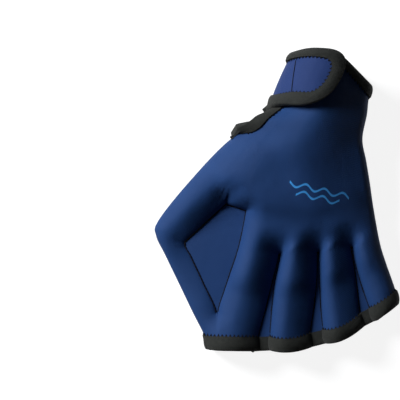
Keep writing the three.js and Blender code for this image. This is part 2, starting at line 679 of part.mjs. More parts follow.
// The rounded end: from the middle of the end's curve, 0 at the lower corner and 180 at the upper one.
function strapEnd(turn, share = 1) {
  const from = aroundWrist(STRAP_ROUND_ANGLE);
  const length = aroundWrist(STRAP_TIP_ANGLE) - from;
  const t = THREE.MathUtils.degToRad(turn - 90);
  const y = strapMiddle(STRAP_TIP_ANGLE) + (share * STRAP_WIDTH * Math.sin(t)) / 2;
  return { reach: from + share * length * Math.cos(t), y, lift: STRAP_LIFT, below: false };
}
const BOUND_STEPS = 11;
const boundAngles = Array.from({ length: BOUND_STEPS + 1 }, (_, k) =>
  lerp(STRAP_FREE_ANGLE, STRAP_ROUND_ANGLE, k / BOUND_STEPS),
);
const strapAngles = [STRAP_ROOT_ANGLE, STRAP_SEWN_ANGLE, ...boundAngles];
const unboundShare = 1 - (2 * WRIST_TAPE_WIDTH) / STRAP_WIDTH;
const across = [-1, -unboundShare, -0.2, 0.2, unboundShare, 1];
const END_TURNS = [72, 54, 38, 24, 12]; // where the rounded end is meshed
const EDGE_TURN = 15; // the same for its binding
function strap() {
  const places = strapAngles.map((angle) => across.map((share) => strapPlace(angle, share)));
  for (const turn of END_TURNS) {
    const [low, high] = [strapEnd(90 - turn), strapEnd(90 + turn)];
    places.push(across.map((share) => ({ ...low, y: lerp(low.y, high.y, (share + 1) / 2) })));
  }
  const layer = (extra) => places.map((row) => row.map((place) => overWrist(place, place.lift + extra)));
  return shell(layer(NEOPRENE), layer(0));
}
function strapBinding() {
  const width = WRIST_TAPE_WIDTH;
  const stations = [];
  const along = (angle, share) => {
    const edge = strapPlace(angle, share);
    stations.push({ edge, inTape: (d) => ({ ...edge, y: edge.y - share * d }) });
  };
  boundAngles.forEach((angle) => along(angle, -1));
  for (let turn = EDGE_TURN; turn < 180; turn += EDGE_TURN) {
    const edge = strapEnd(turn);
    const t = THREE.MathUtils.degToRad(turn - 90);
    const inTape = (d) => ({ ...edge, reach: edge.reach - d * Math.cos(t), y: edge.y - d * Math.sin(t) });
    stations.push({ edge, inTape });
  }
  boundAngles.toReversed().forEach((angle) => along(angle, 1));
  const layer = (clear) =>
    stations.map(({ edge, inTape }) => [
      overWrist(inTape(width), edge.lift + NEOPRENE + clear),
      overWrist(inTape(0), edge.lift + NEOPRENE + clear),
      overWrist(inTape(-clear), edge.lift + NEOPRENE + clear),
      overWrist(inTape(-clear), edge.lift - clear),
      overWrist(inTape(INNER_TAPE_WIDTH / 2), edge.lift - clear),
      overWrist(inTape(INNER_TAPE_WIDTH), edge.lift - clear),
    ]);
  return shell(layer(STRAP_TAPE_GAP + TAPE), layer(STRAP_TAPE_GAP));
}
function pad() {
  const places = [0, 0.2, 0.4, 0.6, 0.8, 1].map((t) =>
    [-1, -0.33, 0.33, 1].map((share) => {
      const place = strapPlace(lerp(PAD_FROM_ANGLE, PAD_TO_ANGLE, t), 0);
      return { ...place, y: place.y + (share * PAD_WIDTH) / 2 };
    }),
  );
  const layer = (lift) => places.map((row) => row.map((place) => overWrist(place, lift)));
  return shell(layer(STRAP_LIFT - GAP), layer(STRAP_LIFT - GAP - PAD_THICKNESS));
}

const NAVY = 0x22386b;
const CHARCOAL = 0x2b2c2a;
const BLACK = 0x17181a;
const group = new THREE.Group();
function add(name, geometry, color) {
  const mesh = new THREE.Mesh(geometry, new THREE.MeshStandardMaterial({ color, roughness: 0.85 }));
  mesh.name = name;
  group.add(mesh);
}
add("back_panel", panel(BACK), NAVY);
add("palm_panel", panel(PALM), NAVY);
add("thumb_web", web(STRIP_SEAM, WEB_SEAM, WEB_FOOT, WEB_TOP), NAVY);
["index_middle_web", "middle_ring_web", "ring_little_web"].forEach((name, i) => {
  add(name, web(FINGER_WEBS[i], FINGER_WEBS[i] + 1, 0, KNUCKLES), NAVY);
});
add("hem_binding_back", hemBinding(BACK), CHARCOAL);
add("hem_binding_palm", hemBinding(PALM), CHARCOAL);
add("wrist_binding_back", wristBinding(BACK), CHARCOAL);
add("wrist_binding_palm", wristBinding(PALM), CHARCOAL);
add("wrist_strap", strap(), NAVY);
add("strap_binding", strapBinding(), CHARCOAL);
add("hook_and_loop_pad", pad(), BLACK);

// Set the origin at the middle of the underside.
const box = new THREE.Box3().setFromObject(group);
const middle = box.getCenter(new THREE.Vector3());
group.children.forEach((mesh) => mesh.geometry.translate(-middle.x, -middle.y, -box.min.z));

export default group;
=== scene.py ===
"""Looks of a webbed swim glove for a left hand, lying palm down with the back of the hand up.

The frame is in metres, +Z is up, the fingers point to -Y and the thumb to -X. The glove's own sizes below
are in millimetres, on the pattern that its panels are cut to.
"""

import math

import bpy
import numpy as np
from mathutils import Matrix, Vector


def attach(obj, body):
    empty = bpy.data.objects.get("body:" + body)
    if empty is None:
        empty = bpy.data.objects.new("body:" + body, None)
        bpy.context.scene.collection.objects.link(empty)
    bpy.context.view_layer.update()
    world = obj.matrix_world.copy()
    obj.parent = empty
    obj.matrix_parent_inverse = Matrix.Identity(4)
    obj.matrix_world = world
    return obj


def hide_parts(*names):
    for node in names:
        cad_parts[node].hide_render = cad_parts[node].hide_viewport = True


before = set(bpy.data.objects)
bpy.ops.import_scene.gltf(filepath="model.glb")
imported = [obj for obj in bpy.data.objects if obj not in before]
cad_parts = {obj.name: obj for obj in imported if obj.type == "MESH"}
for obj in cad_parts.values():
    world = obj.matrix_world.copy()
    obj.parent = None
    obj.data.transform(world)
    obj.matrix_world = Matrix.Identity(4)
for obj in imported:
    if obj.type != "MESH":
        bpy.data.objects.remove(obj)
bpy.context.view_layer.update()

MM = 0.001

# ---------------------------------------------------------------- camera
# Straight down from about 2.6 m. The glove lies to the right of the picture's middle.
FIELD = 272.4  # mm across the picture, at the glove's middle height
GLOVE_MIDDLE_HEIGHT = 20  # mm
CAMERA_DISTANCE = 2600  # mm above that
CAMERA_X, CAMERA_Y = -53.4, -0.2  # mm
SENSOR = 36

lens_data = bpy.data.cameras.new("camera")
lens_data.sensor_width = SENSOR
lens_data.lens = SENSOR * CAMERA_DISTANCE / FIELD
camera = bpy.data.objects.new("camera", lens_data)
camera.location = (CAMERA_X * MM, CAMERA_Y * MM, (CAMERA_DISTANCE + GLOVE_MIDDLE_HEIGHT) * MM)
bpy.context.scene.collection.objects.link(camera)
bpy.context.scene.camera = camera
bpy.context.scene.view_settings.view_transform = "Standard"

# ---------------------------------------------------------------- pattern of the glove
BACK, PALM = 1, -1
SPAN, LENGTH = 167, 207  # thumb corner to little corner, hem to the top of the wrist
ORIGIN = np.array([84.42023505, 103.76179948, -0.00207])  # the frame's origin on the pattern

NEOPRENE = 2.5
WEB_NEOPRENE = 3
TAPE = 0.9
GAP = 0.3
FAR = GAP + TAPE  # a tape's outer face, off the cloth that it binds

SEAM_AT_FINGERS, SEAM_AT_WRIST = 11, 18  # heights of the seam between back and palm
BACK_RISE, PALM_DROP = 25, 22
EDGE_ROUND, GROUND_ROUND = 34, 3
WEB_HEM_WIDTHS = (9.2, 10.2, 7.4)
VALLEY_WIDTH = 1.4
WEB_LAP = 2

HEM_TAPE_WIDTH, WRIST_TAPE_WIDTH, INNER_TAPE_WIDTH = 8.6, 7.5, 5
SLIT_TAPE_FROM = 8.12  # row number
SLIT_TAPE_FOOT = 0.2  # share of its width that the back's tape starts with, at the slit's foot

# Rows of the pattern from the hem up, and the seams that cross them, as shares of SPAN and LENGTH:
# thumb edge, strip seam, web middle, web seam, three valleys between fingers, little edge,
# and how wide the finger webs are there.
HAND_ROWS = [
    [(0.213, 0.013), (0.237, 0.011), (0.251, 0.01), (0.265, 0.01),
     (0.447, 0.008), (0.669, 0.026), (0.873, 0.096), (0.994, 0.162), 1],
    [(0.204, 0.052), (0.23, 0.051), (0.246, 0.051), (0.261, 0.05),
     (0.448, 0.05), (0.663, 0.065), (0.859, 0.137), (0.985, 0.203), 0.9],
    [(0.157, 0.128), (0.251, 0.128), (0.255, 0.128), (0.259, 0.128),
     (0.464, 0.128), (0.665, 0.138), (0.841, 0.201), (0.967, 0.247), 0.57],
    [(0.1, 0.224), (0.198, 0.224), (0.247, 0.224), (0.296, 0.224),
     (0.486, 0.227), (0.669, 0.234), (0.822, 0.272), (0.948, 0.29), 0.24],
    [(0.043, 0.319), (0.147, 0.313), (0.247, 0.329), (0.345, 0.346),
     (0.512, 0.323), (0.669, 0.329), (0.805, 0.346), (0.922, 0.359), 0],
    [(0.006, 0.382), (0.122, 0.362), (0.291, 0.488), (0.375, 0.466),
     (0.532, 0.454), (0.673, 0.461), (0.785, 0.467), (0.895, 0.477), 0],
    [(0.014, 0.431), (0.165, 0.438), (0.3, 0.53), (0.385, 0.55),
     (0.54, 0.54), (0.673, 0.543), (0.773, 0.546), (0.881, 0.553), 0],
    [(0.141, 0.56), (0.251, 0.55), (0.332, 0.599), (0.406, 0.635),
     (0.544, 0.622), (0.671, 0.625), (0.761, 0.625), (0.865, 0.629), 0],
    [(0.314, 0.703), (0.365, 0.675), (0.406, 0.688), (0.447, 0.698),
     (0.561, 0.698), (0.671, 0.698), (0.752, 0.698), (0.849, 0.701), 0],
]
WRIST_ROWS = {
    BACK: [
        [(0.487, 0.78), (0.512, 0.781), (0.527, 0.782), (0.543, 0.783),
         (0.602, 0.783), (0.679, 0.783), (0.765, 0.782), (0.867, 0.78), 0],
        [(0.555, 0.873), (0.577, 0.877), (0.592, 0.88), (0.607, 0.883),
         (0.65, 0.885), (0.704, 0.88), (0.773, 0.868), (0.873, 0.825), 0],
        [(0.614, 0.969), (0.632, 0.975), (0.643, 0.979), (0.655, 0.982),
         (0.683, 0.985), (0.718, 0.981), (0.777, 0.956), (0.883, 0.872), 0],
    ],
    PALM: [
        [(0.46, 0.776), (0.488, 0.779), (0.507, 0.78), (0.526, 0.781),
         (0.602, 0.783), (0.679, 0.783), (0.765, 0.782), (0.867, 0.78), 0],
        [(0.55, 0.874), (0.573, 0.877), (0.588, 0.88), (0.603, 0.882),
         (0.648, 0.884), (0.703, 0.88), (0.773, 0.868), (0.873, 0.825), 0],
        [(0.602, 0.955), (0.62, 0.963), (0.632, 0.969), (0.645, 0.975),
         (0.676, 0.98), (0.713, 0.98), (0.777, 0.956), (0.883, 0.872), 0],
    ],
}
HEM_LINE = [(x * SPAN, y * LENGTH) for x, y in HAND_ROWS[0][:-1]]
HEM_BOWS = np.array([0, 0, 0, 0, 0, 2.0, 0, 2.7, 0, 0.5])  # mm that the hem bows out between two lines
# The back's edge at the slit stands off the pattern: row, and mm towards the thumb and the wrist
SLIT_FLARE = np.array([
    (8, 0, 0), (8.1, 1, 4.6), (8.3, -0.6, 2.9), (8.5, -2.4, 2.2),
    (8.75, -5.4, 2.8), (9, -5.6, 1.4), (9.25, -3, 0.3), (9.5, 0, 0),
])
SLIT_LIFT = 8  # mm that this edge stands up
LIFT_GROWS, LIFT_FADES = (0.695, 0.755), (0.76, 0.82)  # where, as shares of LENGTH
THUMB_EDGE, STRIP_SEAM, WEB_MIDDLE, WEB_SEAM, FIRST_VALLEY, LITTLE_EDGE = 0, 1, 2, 3, 4, 10
WEB_FOOT, KNUCKLES, WEB_TOP, SLIT_FOOT, RIM = 2, 4, 5, 8, 11
WEB_HEM_ROW = 0.1
WRIST_SIDE = [(0.349, 0.731), (0.398, 0.756), (0.438, 0.777), (0.479, 0.796), (0.512, 0.826),
              (0.532, 0.863), (0.552, 0.9), (0.573, 0.936), (0.596, 0.975), (0.62, 1.03)]
LITTLE_SIDE_BEYOND = (0.897, 0.99)
HEM_BEYOND = -0.06

# Fullness at places on the pattern: x, y, and shares of BACK_RISE, PALM_DROP and EDGE_ROUND.
FULLNESS = np.array([
    (0.33, 0.07, 0.44, 0.72, 0.38),  # index finger at the hem
    (0.56, 0.07, 0.44, 0.72, 0.38),  # middle finger at the hem
    (0.77, 0.12, 0.43, 0.72, 0.36),  # ring finger at the hem
    (0.94, 0.2, 0.4, 0.7, 0.3),  # little finger at the hem
    (0.42, 0.32, 0.56, 0.74, 0.45),  # index knuckle
    (0.59, 0.35, 0.6, 0.74, 0.5),  # middle knuckle
    (0.74, 0.37, 0.56, 0.74, 0.5),  # ring knuckle
    (0.86, 0.39, 0.5, 0.74, 0.5),  # little knuckle
    (0.61, 0.53, 0.86, 0.86, 1),  # palm
    (0.8, 0.57, 0.82, 0.86, 1),  # palm's outer side
    (0.39, 0.63, 0.86, 0.86, 0.9),  # thumb root
    (0.63, 0.71, 0.94, 1, 1),  # neck of the wrist
    (0.7, 0.91, 0.96, 1, 1),  # rim
    (0.17, 0.47, 0.42, 0.6, 0.36),  # thumb
    (0.04, 0.41, 0.3, 0.45, 0.34),  # thumb corner
    (0.12, 0.25, 0.13, 0.34, 0.4),  # outer strip
    (0.21, 0.12, 0.2, 0.5, 0.4),  # foot of the strip
])
FULLNESS_SPREAD = 0.105 * SPAN
SEAM_RISE_FROM, SEAM_RISE_TO = 0.42 * LENGTH, 0.76 * LENGTH
SEAM_STEPS = 12  # points of a seam's line from row to row
SEAM_SLACK = 0.06  # mm beside a seam that count as on it
BESIDE_SEAM = 0.004  # line numbers that a wall's slope is taken in from its seam


def lerp(a, b, t):
    return a + (b - a) * t


def unit(vectors):
    return vectors / np.linalg.norm(vectors, axis=-1, keepdims=True)


def smooth(a, b, v):
    t = np.clip((v - a) / (b - a), 0, 1)
    return t * t * (3 - 2 * t)


def pattern_lines(side):
    """The seams' lines as an array of line, row, (x, y)."""
    rows = []
    for *seams, web_open in HAND_ROWS + WRIST_ROWS[side]:
        points = np.array(seams) * (SPAN, LENGTH)
        across = list(points[:4])
        for k, width in zip((4, 5, 6), WEB_HEM_WIDTHS):
            run = points[k + 1] - points[k - 1]
            step = run / run[0] * max(VALLEY_WIDTH, web_open * width) / 2
            across += [points[k] - step, points[k] + step]
        rows.append(across + list(points[7:]))
    return np.array(rows).swapaxes(0, 1)


LINES = {BACK: pattern_lines(BACK), PALM: pattern_lines(PALM)}


def along(points, number):
    """Places on curves through points (..., rows, 2), at row numbers that may lie between two rows."""
    last = points.shape[-2] - 1
    i = np.minimum(np.floor(number).astype(int), last - 1)
    t = (number - i)[..., None]
    index = np.arange(len(i))

    def at(k):
        return points[index, np.clip(k, 0, last)]

    p, q, r, s = at(i - 1), at(i), at(i + 1), at(i + 2)
    return 0.5 * (2 * q + (r - p) * t + (2 * p - 5 * q + 4 * r - s) * t**2 + (3 * q - p - 3 * r + s) * t**3)


def plan(side, line, row):
    """Points of the pattern (n, 2) in mm, at line and row numbers."""
    line, row = np.broadcast_arrays(np.asarray(line, float), np.asarray(row, float))
    line, row = line.ravel(), row.ravel()
    i = np.minimum(np.floor(line).astype(int), LITTLE_EDGE - 1)
    t = line - i
    left, right = along(LINES[side][i], row), along(LINES[side][i + 1], row)
    points = lerp(left, right, t[:, None])
    points[:, 1] -= HEM_BOWS[i] * 4 * t * (1 - t) * np.clip(1 - row, 0, 1) ** 2
    if side == BACK:
        flare = np.column_stack([np.interp(row, SLIT_FLARE[:, 0], SLIT_FLARE[:, k]) for k in (1, 2)])
        points += flare * (1 - smooth(0, FIRST_VALLEY, line))[:, None]
    return points


def seam_line(line, row_from, row_to):
    steps = round(abs(row_to - row_from) * SEAM_STEPS)
    return plan(BACK, line, np.linspace(row_from, row_to, steps + 1))


def web_outline(left, right, row_from, row_to):
    return np.vstack([seam_line(left, row_from, row_to), seam_line(right, row_to, row_from)])


thumb_web_outline = np.vstack([
    seam_line(STRIP_SEAM, WEB_FOOT, WEB_TOP),
    plan(BACK, WEB_MIDDLE, WEB_TOP),
    seam_line(WEB_SEAM, WEB_TOP, WEB_FOOT),
])
thumb_side = seam_line(THUMB_EDGE, 0, SLIT_FOOT)
little_side = seam_line(LITTLE_EDGE, 0, RIM)
side_places = np.linspace(0, len(WRIST_SIDE) - 1, (len(WRIST_SIDE) - 1) * SEAM_STEPS + 1)
side_points = np.array(WRIST_SIDE) * (SPAN, LENGTH)
wrist_side = along(np.broadcast_to(side_points, (len(side_places), *side_points.shape)), side_places)
PAST_HEM = np.array([[0, HEM_BEYOND * LENGTH]])
SIDE_SEAMS = [
    np.vstack([thumb_side[:1] + PAST_HEM, thumb_side, wrist_side]),
    np.vstack([little_side[:1] + PAST_HEM, little_side, [np.array(LITTLE_SIDE_BEYOND) * (SPAN, LENGTH)]]),
]
FINGER_WEBS = (FIRST_VALLEY, FIRST_VALLEY + 2, FIRST_VALLEY + 4)
WEB_SEAMS = [thumb_web_outline]
for left in FINGER_WEBS:
    outline = web_outline(left, left + 1, 0, KNUCKLES)
    WEB_SEAMS.append(np.vstack([outline[:1] + PAST_HEM, outline, outline[-1:] + PAST_HEM]))
CRISP_FINGER, SOFT_FINGER = 11, 21  # a web's far side is creased, its near side falls softly
CRISP_THUMB, SOFT_THUMB = 13, 17
WEB_BLEND, WEB_BLEND_GROWTH = 4, 1.2  # mm from soft to crisp across a web, and how it widens above it
HAND_FALL, WRIST_FALL = 1.5, 1.25  # the little side falls over this many times its rounding
FINGER_TO_HAND, HAND_TO_WRIST = (0.3, 0.5), (0.6, 0.8)  # shares of LENGTH over which they change
FALL_FOOT, LITTLE_FOOT, FOOT_ROUND = 0.12, 0.28, 4  # a fall's upright foot: shares of its height, and mm


def beside_web(number, points):
    """1 where cloth falls softly to a web, 0 where it is creased against it, from 1 to 0 across it."""
    if number:
        valley = (LINES[BACK][FIRST_VALLEY + 2 * number - 2] + LINES[BACK][FIRST_VALLEY + 2 * number - 1]) / 2
        apex = valley[KNUCKLES, 1]
    else:
        valley = LINES[BACK][WEB_MIDDLE]
        apex = valley[WEB_TOP, 1]
    past = points[:, 0] - np.interp(points[:, 1], valley[:, 1], valley[:, 0])
    blend = WEB_BLEND + WEB_BLEND_GROWTH * np.maximum(points[:, 1] - apex, 0)
    return 1 - smooth(0, 1, past / blend)


def distance_to(line, points):
    """Distance of each point (n, 2) from a line of points, in mm."""
    start, step = line[:-1], line[1:] - line[:-1]
    long = np.maximum((step**2).sum(1), 1e-12)
    nearest = []
    for some in np.array_split(points, max(1, len(points) // 3000)):
        away = some[:, None] - start
        t = np.clip((away * step).sum(2) / long, 0, 1)
        nearest.append(np.sqrt(((away - step * t[..., None]) ** 2).sum(2)).min(1))
    return np.concatenate(nearest)


def seam_height(y):
    return lerp(SEAM_AT_FINGERS, SEAM_AT_WRIST, smooth(SEAM_RISE_FROM, SEAM_RISE_TO, y))


def round_over(distance, reach):
    s = np.clip((distance - SEAM_SLACK) / reach, 0, 1)
    return np.sqrt(s * (2 - s))


def fall_over(distance, reach, foot=FALL_FOOT):
    """A long fall to a seam, steeper and steeper, with a small upright foot."""
    s = np.clip(distance / reach, 0, 1)
    return foot * round_over(distance, FOOT_ROUND) + (1 - foot) * np.sin(math.pi / 2 * s)


def above_ground(height):
    z = height - GAP - TAPE
    low = GAP + TAPE + np.where(z < -GROUND_ROUND, 0, (z + GROUND_ROUND) ** 2 / (4 * GROUND_ROUND))
    return np.where(z > GROUND_ROUND, height, low)


def unevenness(x, y):
    """Slow waves of a stretched neoprene skin, about 30 mm apart and under half a millimetre high."""
    waves = np.sin(x / 5.1 + y / 9.7 + 0.6) + np.sin(x / 8.3 - y / 6.1 + 2.1) + np.sin(y / 4.7 + x / 14 + 4.0)
    return 0.14 * waves


def height(side, points, flap=True):
    """Height of a panel's outer face over the pattern, in mm; flap counts the lifted edge at the slit."""
    x, y = points.T
    up = y / LENGTH
    away = np.hypot(x[:, None] - FULLNESS[:, 0] * SPAN, y[:, None] - FULLNESS[:, 1] * LENGTH)
    weight = np.exp(-((away / FULLNESS_SPREAD) ** 2)) + 1e-9
    back, palm, reach = (weight @ FULLNESS[:, 2:] / weight.sum(1)[:, None]).T
    to_sides = [distance_to(line, points) for line in SIDE_SEAMS]
    if side == BACK and flap:
        lift = SLIT_LIFT * smooth(*LIFT_GROWS, up) * (1 - smooth(*LIFT_FADES, up))
        to_sides[0] = np.hypot(to_sides[0], lift)
    to_webs = [distance_to(line, points) for line in WEB_SEAMS]
    pinch = round_over(to_sides[0], EDGE_ROUND * reach)
    fall = EDGE_ROUND * reach * lerp(HAND_FALL, WRIST_FALL, smooth(*HAND_TO_WRIST, up))
    short, long = round_over(to_sides[1], EDGE_ROUND * reach), fall_over(to_sides[1], fall, LITTLE_FOOT)
    pinch = pinch * lerp(short, long, smooth(*FINGER_TO_HAND, up))
    for number, d in enumerate(to_webs):
        crisp, soft = (CRISP_FINGER, SOFT_FINGER) if number else (CRISP_THUMB, SOFT_THUMB)
        share = beside_web(number, points)
        pinch = pinch * lerp(round_over(d, crisp), fall_over(d, soft), share)
    near_side, near_web = np.minimum(*to_sides), np.minimum.reduce(to_webs)
    web_share = near_side / (near_side + near_web + 1e-9)
    parting = GAP / 2 + (WEB_NEOPRENE / 2 + GAP / 2) * web_share**2
    if side == BACK:
        return seam_height(y) + parting + (BACK_RISE * back + unevenness(x, y)) * pinch
    return above_ground(seam_height(y) - parting - PALM_DROP * palm * pinch)


def face(side, points, flap=True):
    return np.column_stack([points, height(side, points, flap)])


def face_normal(side, points, flap=True):
    d = 0.02
    slope_x = (height(side, points + [d, 0], flap) - height(side, points - [d, 0], flap)) / (2 * d)
    slope_y = (height(side, points + [0, d], flap) - height(side, points - [0, d], flap)) / (2 * d)
    normal = np.column_stack([-slope_x * side, -slope_y * side, np.full(len(points), side)])
    return unit(normal)


def levelled(normal):
    return unit(normal * [1, 1, 0])


def skin(side, line, row, off, tube=None):
    """Points (n, 3) at a distance off a panel's outer face, at line and row numbers.

    tube is the pair of seams that the piece runs between; on them the wall stands upright.
    """
    places = (np.asarray(v, float) for v in (line, row, off))
    line, row, off = (a.ravel() for a in np.broadcast_arrays(*places))
    on = plan(side, line, row)
    if tube is None:
        normal = face_normal(side, on)
    else:
        inside = np.clip(line, tube[0] + BESIDE_SEAM, tube[1] - BESIDE_SEAM)
        normal = face_normal(side, plan(side, inside, row))
        upright = inside != line
        if upright.any():
            normal[upright] = levelled(normal[upright])
    return face(side, on) + normal * off[:, None]


# ---------------------------------------------------------------- making pieces
def select(*pieces):
    """Selects these pieces alone and makes the first one active."""
    for other in bpy.context.selected_objects:
        other.select_set(False)
    for piece in reversed(pieces):
        piece.select_set(True)
        bpy.context.view_layer.objects.active = piece


def in_frame(points):
    return (np.asarray(points) - ORIGIN) * MM


def grid_piece(name, points, left_out=None):
    """A sheet: a grid primitive whose vertices are set at points (rows, columns, 3), in mm on the pattern.

    left_out (rows - 1, columns - 1) marks cells that are cut away. The sheet keeps a map of its own
    surface in millimetres, for patterns that follow the cloth.
    """
    rows, columns = points.shape[:2]
    select()
    bpy.ops.mesh.primitive_grid_add(x_subdivisions=columns - 1, y_subdivisions=rows - 1, size=1)
    made = bpy.context.active_object
    made.name = made.data.name = name
    mesh = made.data
    flat = np.empty(len(mesh.vertices) * 3)
    mesh.vertices.foreach_get("co", flat)
    flat = flat.reshape(-1, 3)
    j = np.rint((flat[:, 0] + 0.5) * (columns - 1)).astype(int)
    i = np.rint((flat[:, 1] + 0.5) * (rows - 1)).astype(int)
    mesh.vertices.foreach_set("co", in_frame(points[i, j]).ravel())

    across = np.linalg.norm(np.diff(points, axis=1), axis=2)
    up = np.linalg.norm(np.diff(points, axis=0), axis=2)
    u = np.concatenate([np.zeros((rows, 1)), across.cumsum(1)], axis=1)
    v = np.concatenate([np.zeros((1, columns)), up.cumsum(0)])
    u -= u[:, columns // 2][:, None]
    corner = np.empty(len(mesh.loops), int)
    mesh.loops.foreach_get("vertex_index", corner)
    cloth = mesh.uv_layers[0]
    cloth.name = "cloth"
    cloth.data.foreach_set("uv", np.column_stack([u[i, j], v[i, j]])[corner].ravel())

    if left_out is not None:
        bpy.ops.object.mode_set(mode="EDIT")
        bpy.ops.mesh.select_all(action="DESELECT")
        bpy.ops.object.mode_set(mode="OBJECT")
        for polygon in mesh.polygons:
            corners = list(polygon.vertices)
            polygon.select = bool(left_out[i[corners].min(), j[corners].min()])
        bpy.ops.object.mode_set(mode="EDIT")
        bpy.ops.mesh.select_mode(type="FACE")
        bpy.ops.mesh.delete(type="FACE")
        bpy.ops.object.mode_set(mode="OBJECT")
    return made


def turned_out(piece, away_from):
    """Flips a sheet's faces if they look towards away_from, a point in mm on the pattern."""
    centre = Vector(in_frame(away_from))
    if sum(p.normal.dot(p.center - centre) * p.area for p in piece.data.polygons) < 0:
        flip(piece)


def flip(piece):
    select(piece)
    bpy.ops.object.mode_set(mode="EDIT")
    bpy.ops.mesh.select_all(action="SELECT")
    bpy.ops.mesh.flip_normals()
    bpy.ops.object.mode_set(mode="OBJECT")


def thickened(piece, thickness, inner_material=None):
    """Gives a sheet its thickness, inwards from its outer face."""
    solid = piece.modifiers.new("thickness", "SOLIDIFY")
    solid.thickness = thickness * MM
    solid.offset = -1
    solid.use_even_offset = False
    if inner_material is not None:
        solid.material_offset = 1
    select(piece)
    bpy.ops.object.modifier_apply(modifier=solid.name)


def fitted(piece, part=None, angle=50):
    """Smooths a finished piece and ties it to the frame; part is the node that it stands for."""
    select(piece)
    bpy.ops.object.shade_smooth_by_angle(angle=math.radians(angle))
    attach(piece, "root")
    if part:
        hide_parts(part)


# ---------------------------------------------------------------- materials
def linear(colour):
    """An sRGB hex colour as linear RGBA."""
    parts = [int(colour[k : k + 2], 16) / 255 for k in (1, 3, 5)]
    return (*(c / 12.92 if c <= 0.04045 else ((c + 0.055) / 1.055) ** 2.4 for c in parts), 1)


def node(tree, kind, inputs=None, **settings):
    """Adds a node, sets it, and links or sets its inputs."""
    made = tree.nodes.new(kind)
    for key, value in settings.items():
        setattr(made, key, value)
    for key, value in (inputs or {}).items():
        if isinstance(value, bpy.types.NodeSocket):
            tree.links.new(value, made.inputs[key])
        else:
            made.inputs[key].default_value = value
    return made


def sum_of(tree, operation, a, b=0.0, c=0.0):
    return node(tree, "ShaderNodeMath", {0: a, 1: b, 2: c}, operation=operation).outputs[0]


def blank(name):
    """A material with nothing but its shader, and the tree and shader to build on."""
    made = bpy.data.materials.new(name)
    made.use_nodes = True
    return made, made.node_tree, made.node_tree.nodes["Principled BSDF"]


def mixed(tree, factor, low, high):
    """A colour between two, each of them a hex colour or a socket."""
    low, high = (linear(colour) if isinstance(colour, str) else colour for colour in (low, high))
    ends = {"Factor": factor, "A": low, "B": high}
    return node(tree, "ShaderNodeMix", ends, data_type="RGBA").outputs["Result"]


def bump(tree, heights, strength, distance, over=None):
    """A normal from heights, distance in metres, over another normal where one is given."""
    inputs = {"Height": heights, "Strength": strength, "Distance": distance}
    if over:
        inputs["Normal"] = over
    return node(tree, "ShaderNodeBump", inputs).outputs["Normal"]


def set_sockets(shader, values):
    for key, value in values.items():
        shader.inputs[key].default_value = value


def wired(tree, shader, colour, normal, values):
    """Links a shader's colour and normal, and sets other sockets to plain values."""
    tree.links.new(colour, shader.inputs["Base Color"])
    tree.links.new(normal, shader.inputs["Normal"])
    set_sockets(shader, values)


WALE = 1.3  # mm between the knit's columns; a real jersey's are 0.6 mm, too fine to show here
COURSE = 1.1  # mm between its rows


def neoprene_jersey(name, shade, lit, printed=False):
    """Foamed neoprene faced with nylon jersey, laminated flat: a fine matt knit with a soft bloom at
    grazing angles and a slightly cloudy dye."""
    made, tree, shader = blank(name)
    cloth = node(tree, "ShaderNodeUVMap", uv_map="cloth").outputs["UV"]
    split = node(tree, "ShaderNodeSeparateXYZ", {"Vector": cloth})
    u, v = split.outputs["X"], split.outputs["Y"]
    across = sum_of(tree, "PINGPONG", u, WALE / 2)
    slant = sum_of(tree, "MULTIPLY_ADD", across, 1.3, v)
    loops = sum_of(tree, "SINE", sum_of(tree, "MULTIPLY", slant, 2 * math.pi / COURSE))
    furrow = sum_of(tree, "SINE", sum_of(tree, "MULTIPLY", across, 2 * math.pi / WALE))
    knit = sum_of(tree, "MULTIPLY_ADD", furrow, 1.6, loops)

    place = node(tree, "ShaderNodeTexCoord").outputs["Object"]
    cloud = node(tree, "ShaderNodeTexNoise", {"Vector": place, "Scale": 55, "Detail": 5, "Roughness": 0.6})
    colour = mixed(tree, cloud.outputs["Fac"], shade, lit)
    if printed:
        colour = wave_print(tree, place, colour)

    pile = node(tree, "ShaderNodeTexNoise", {"Vector": place, "Scale": 900, "Detail": 2})
    rough = node(tree, "ShaderNodeMapRange", {"Value": pile.outputs["Fac"], "To Min": 0.56, "To Max": 0.72})
    tree.links.new(rough.outputs["Result"], shader.inputs["Roughness"])
    dents = node(tree, "ShaderNodeTexNoise", {"Vector": place, "Scale": 90, "Detail": 3})
    soft = bump(tree, dents.outputs["Fac"], 0.2, 0.002)
    sheen = {"Sheen Weight": 0.02, "Sheen Roughness": 0.45, "Sheen Tint": linear("#5f7fc0")}
    surface = {"IOR": 1.5, "Specular IOR Level": 0.1, **sheen}
    wired(tree, shader, colour, bump(tree, knit, 0.35, 0.00012, soft), surface)
    return made


PRINT_MIDDLE = (27.0, 4.0)  # mm in the frame
PRINT_TURN = math.radians(-13)
PRINT_WAVE = 13.0  # mm from crest to crest
PRINT_RISE = 1.7  # mm from the middle to a crest
PRINT_LINE = 1.5  # mm thick
PRINT_LINES = ((2.6, 21.0), (-2.6, 15.0))  # mm over the middle, and to either side of it
PRINT_ABOVE = 0.02  # m; only the back of the hand is printed


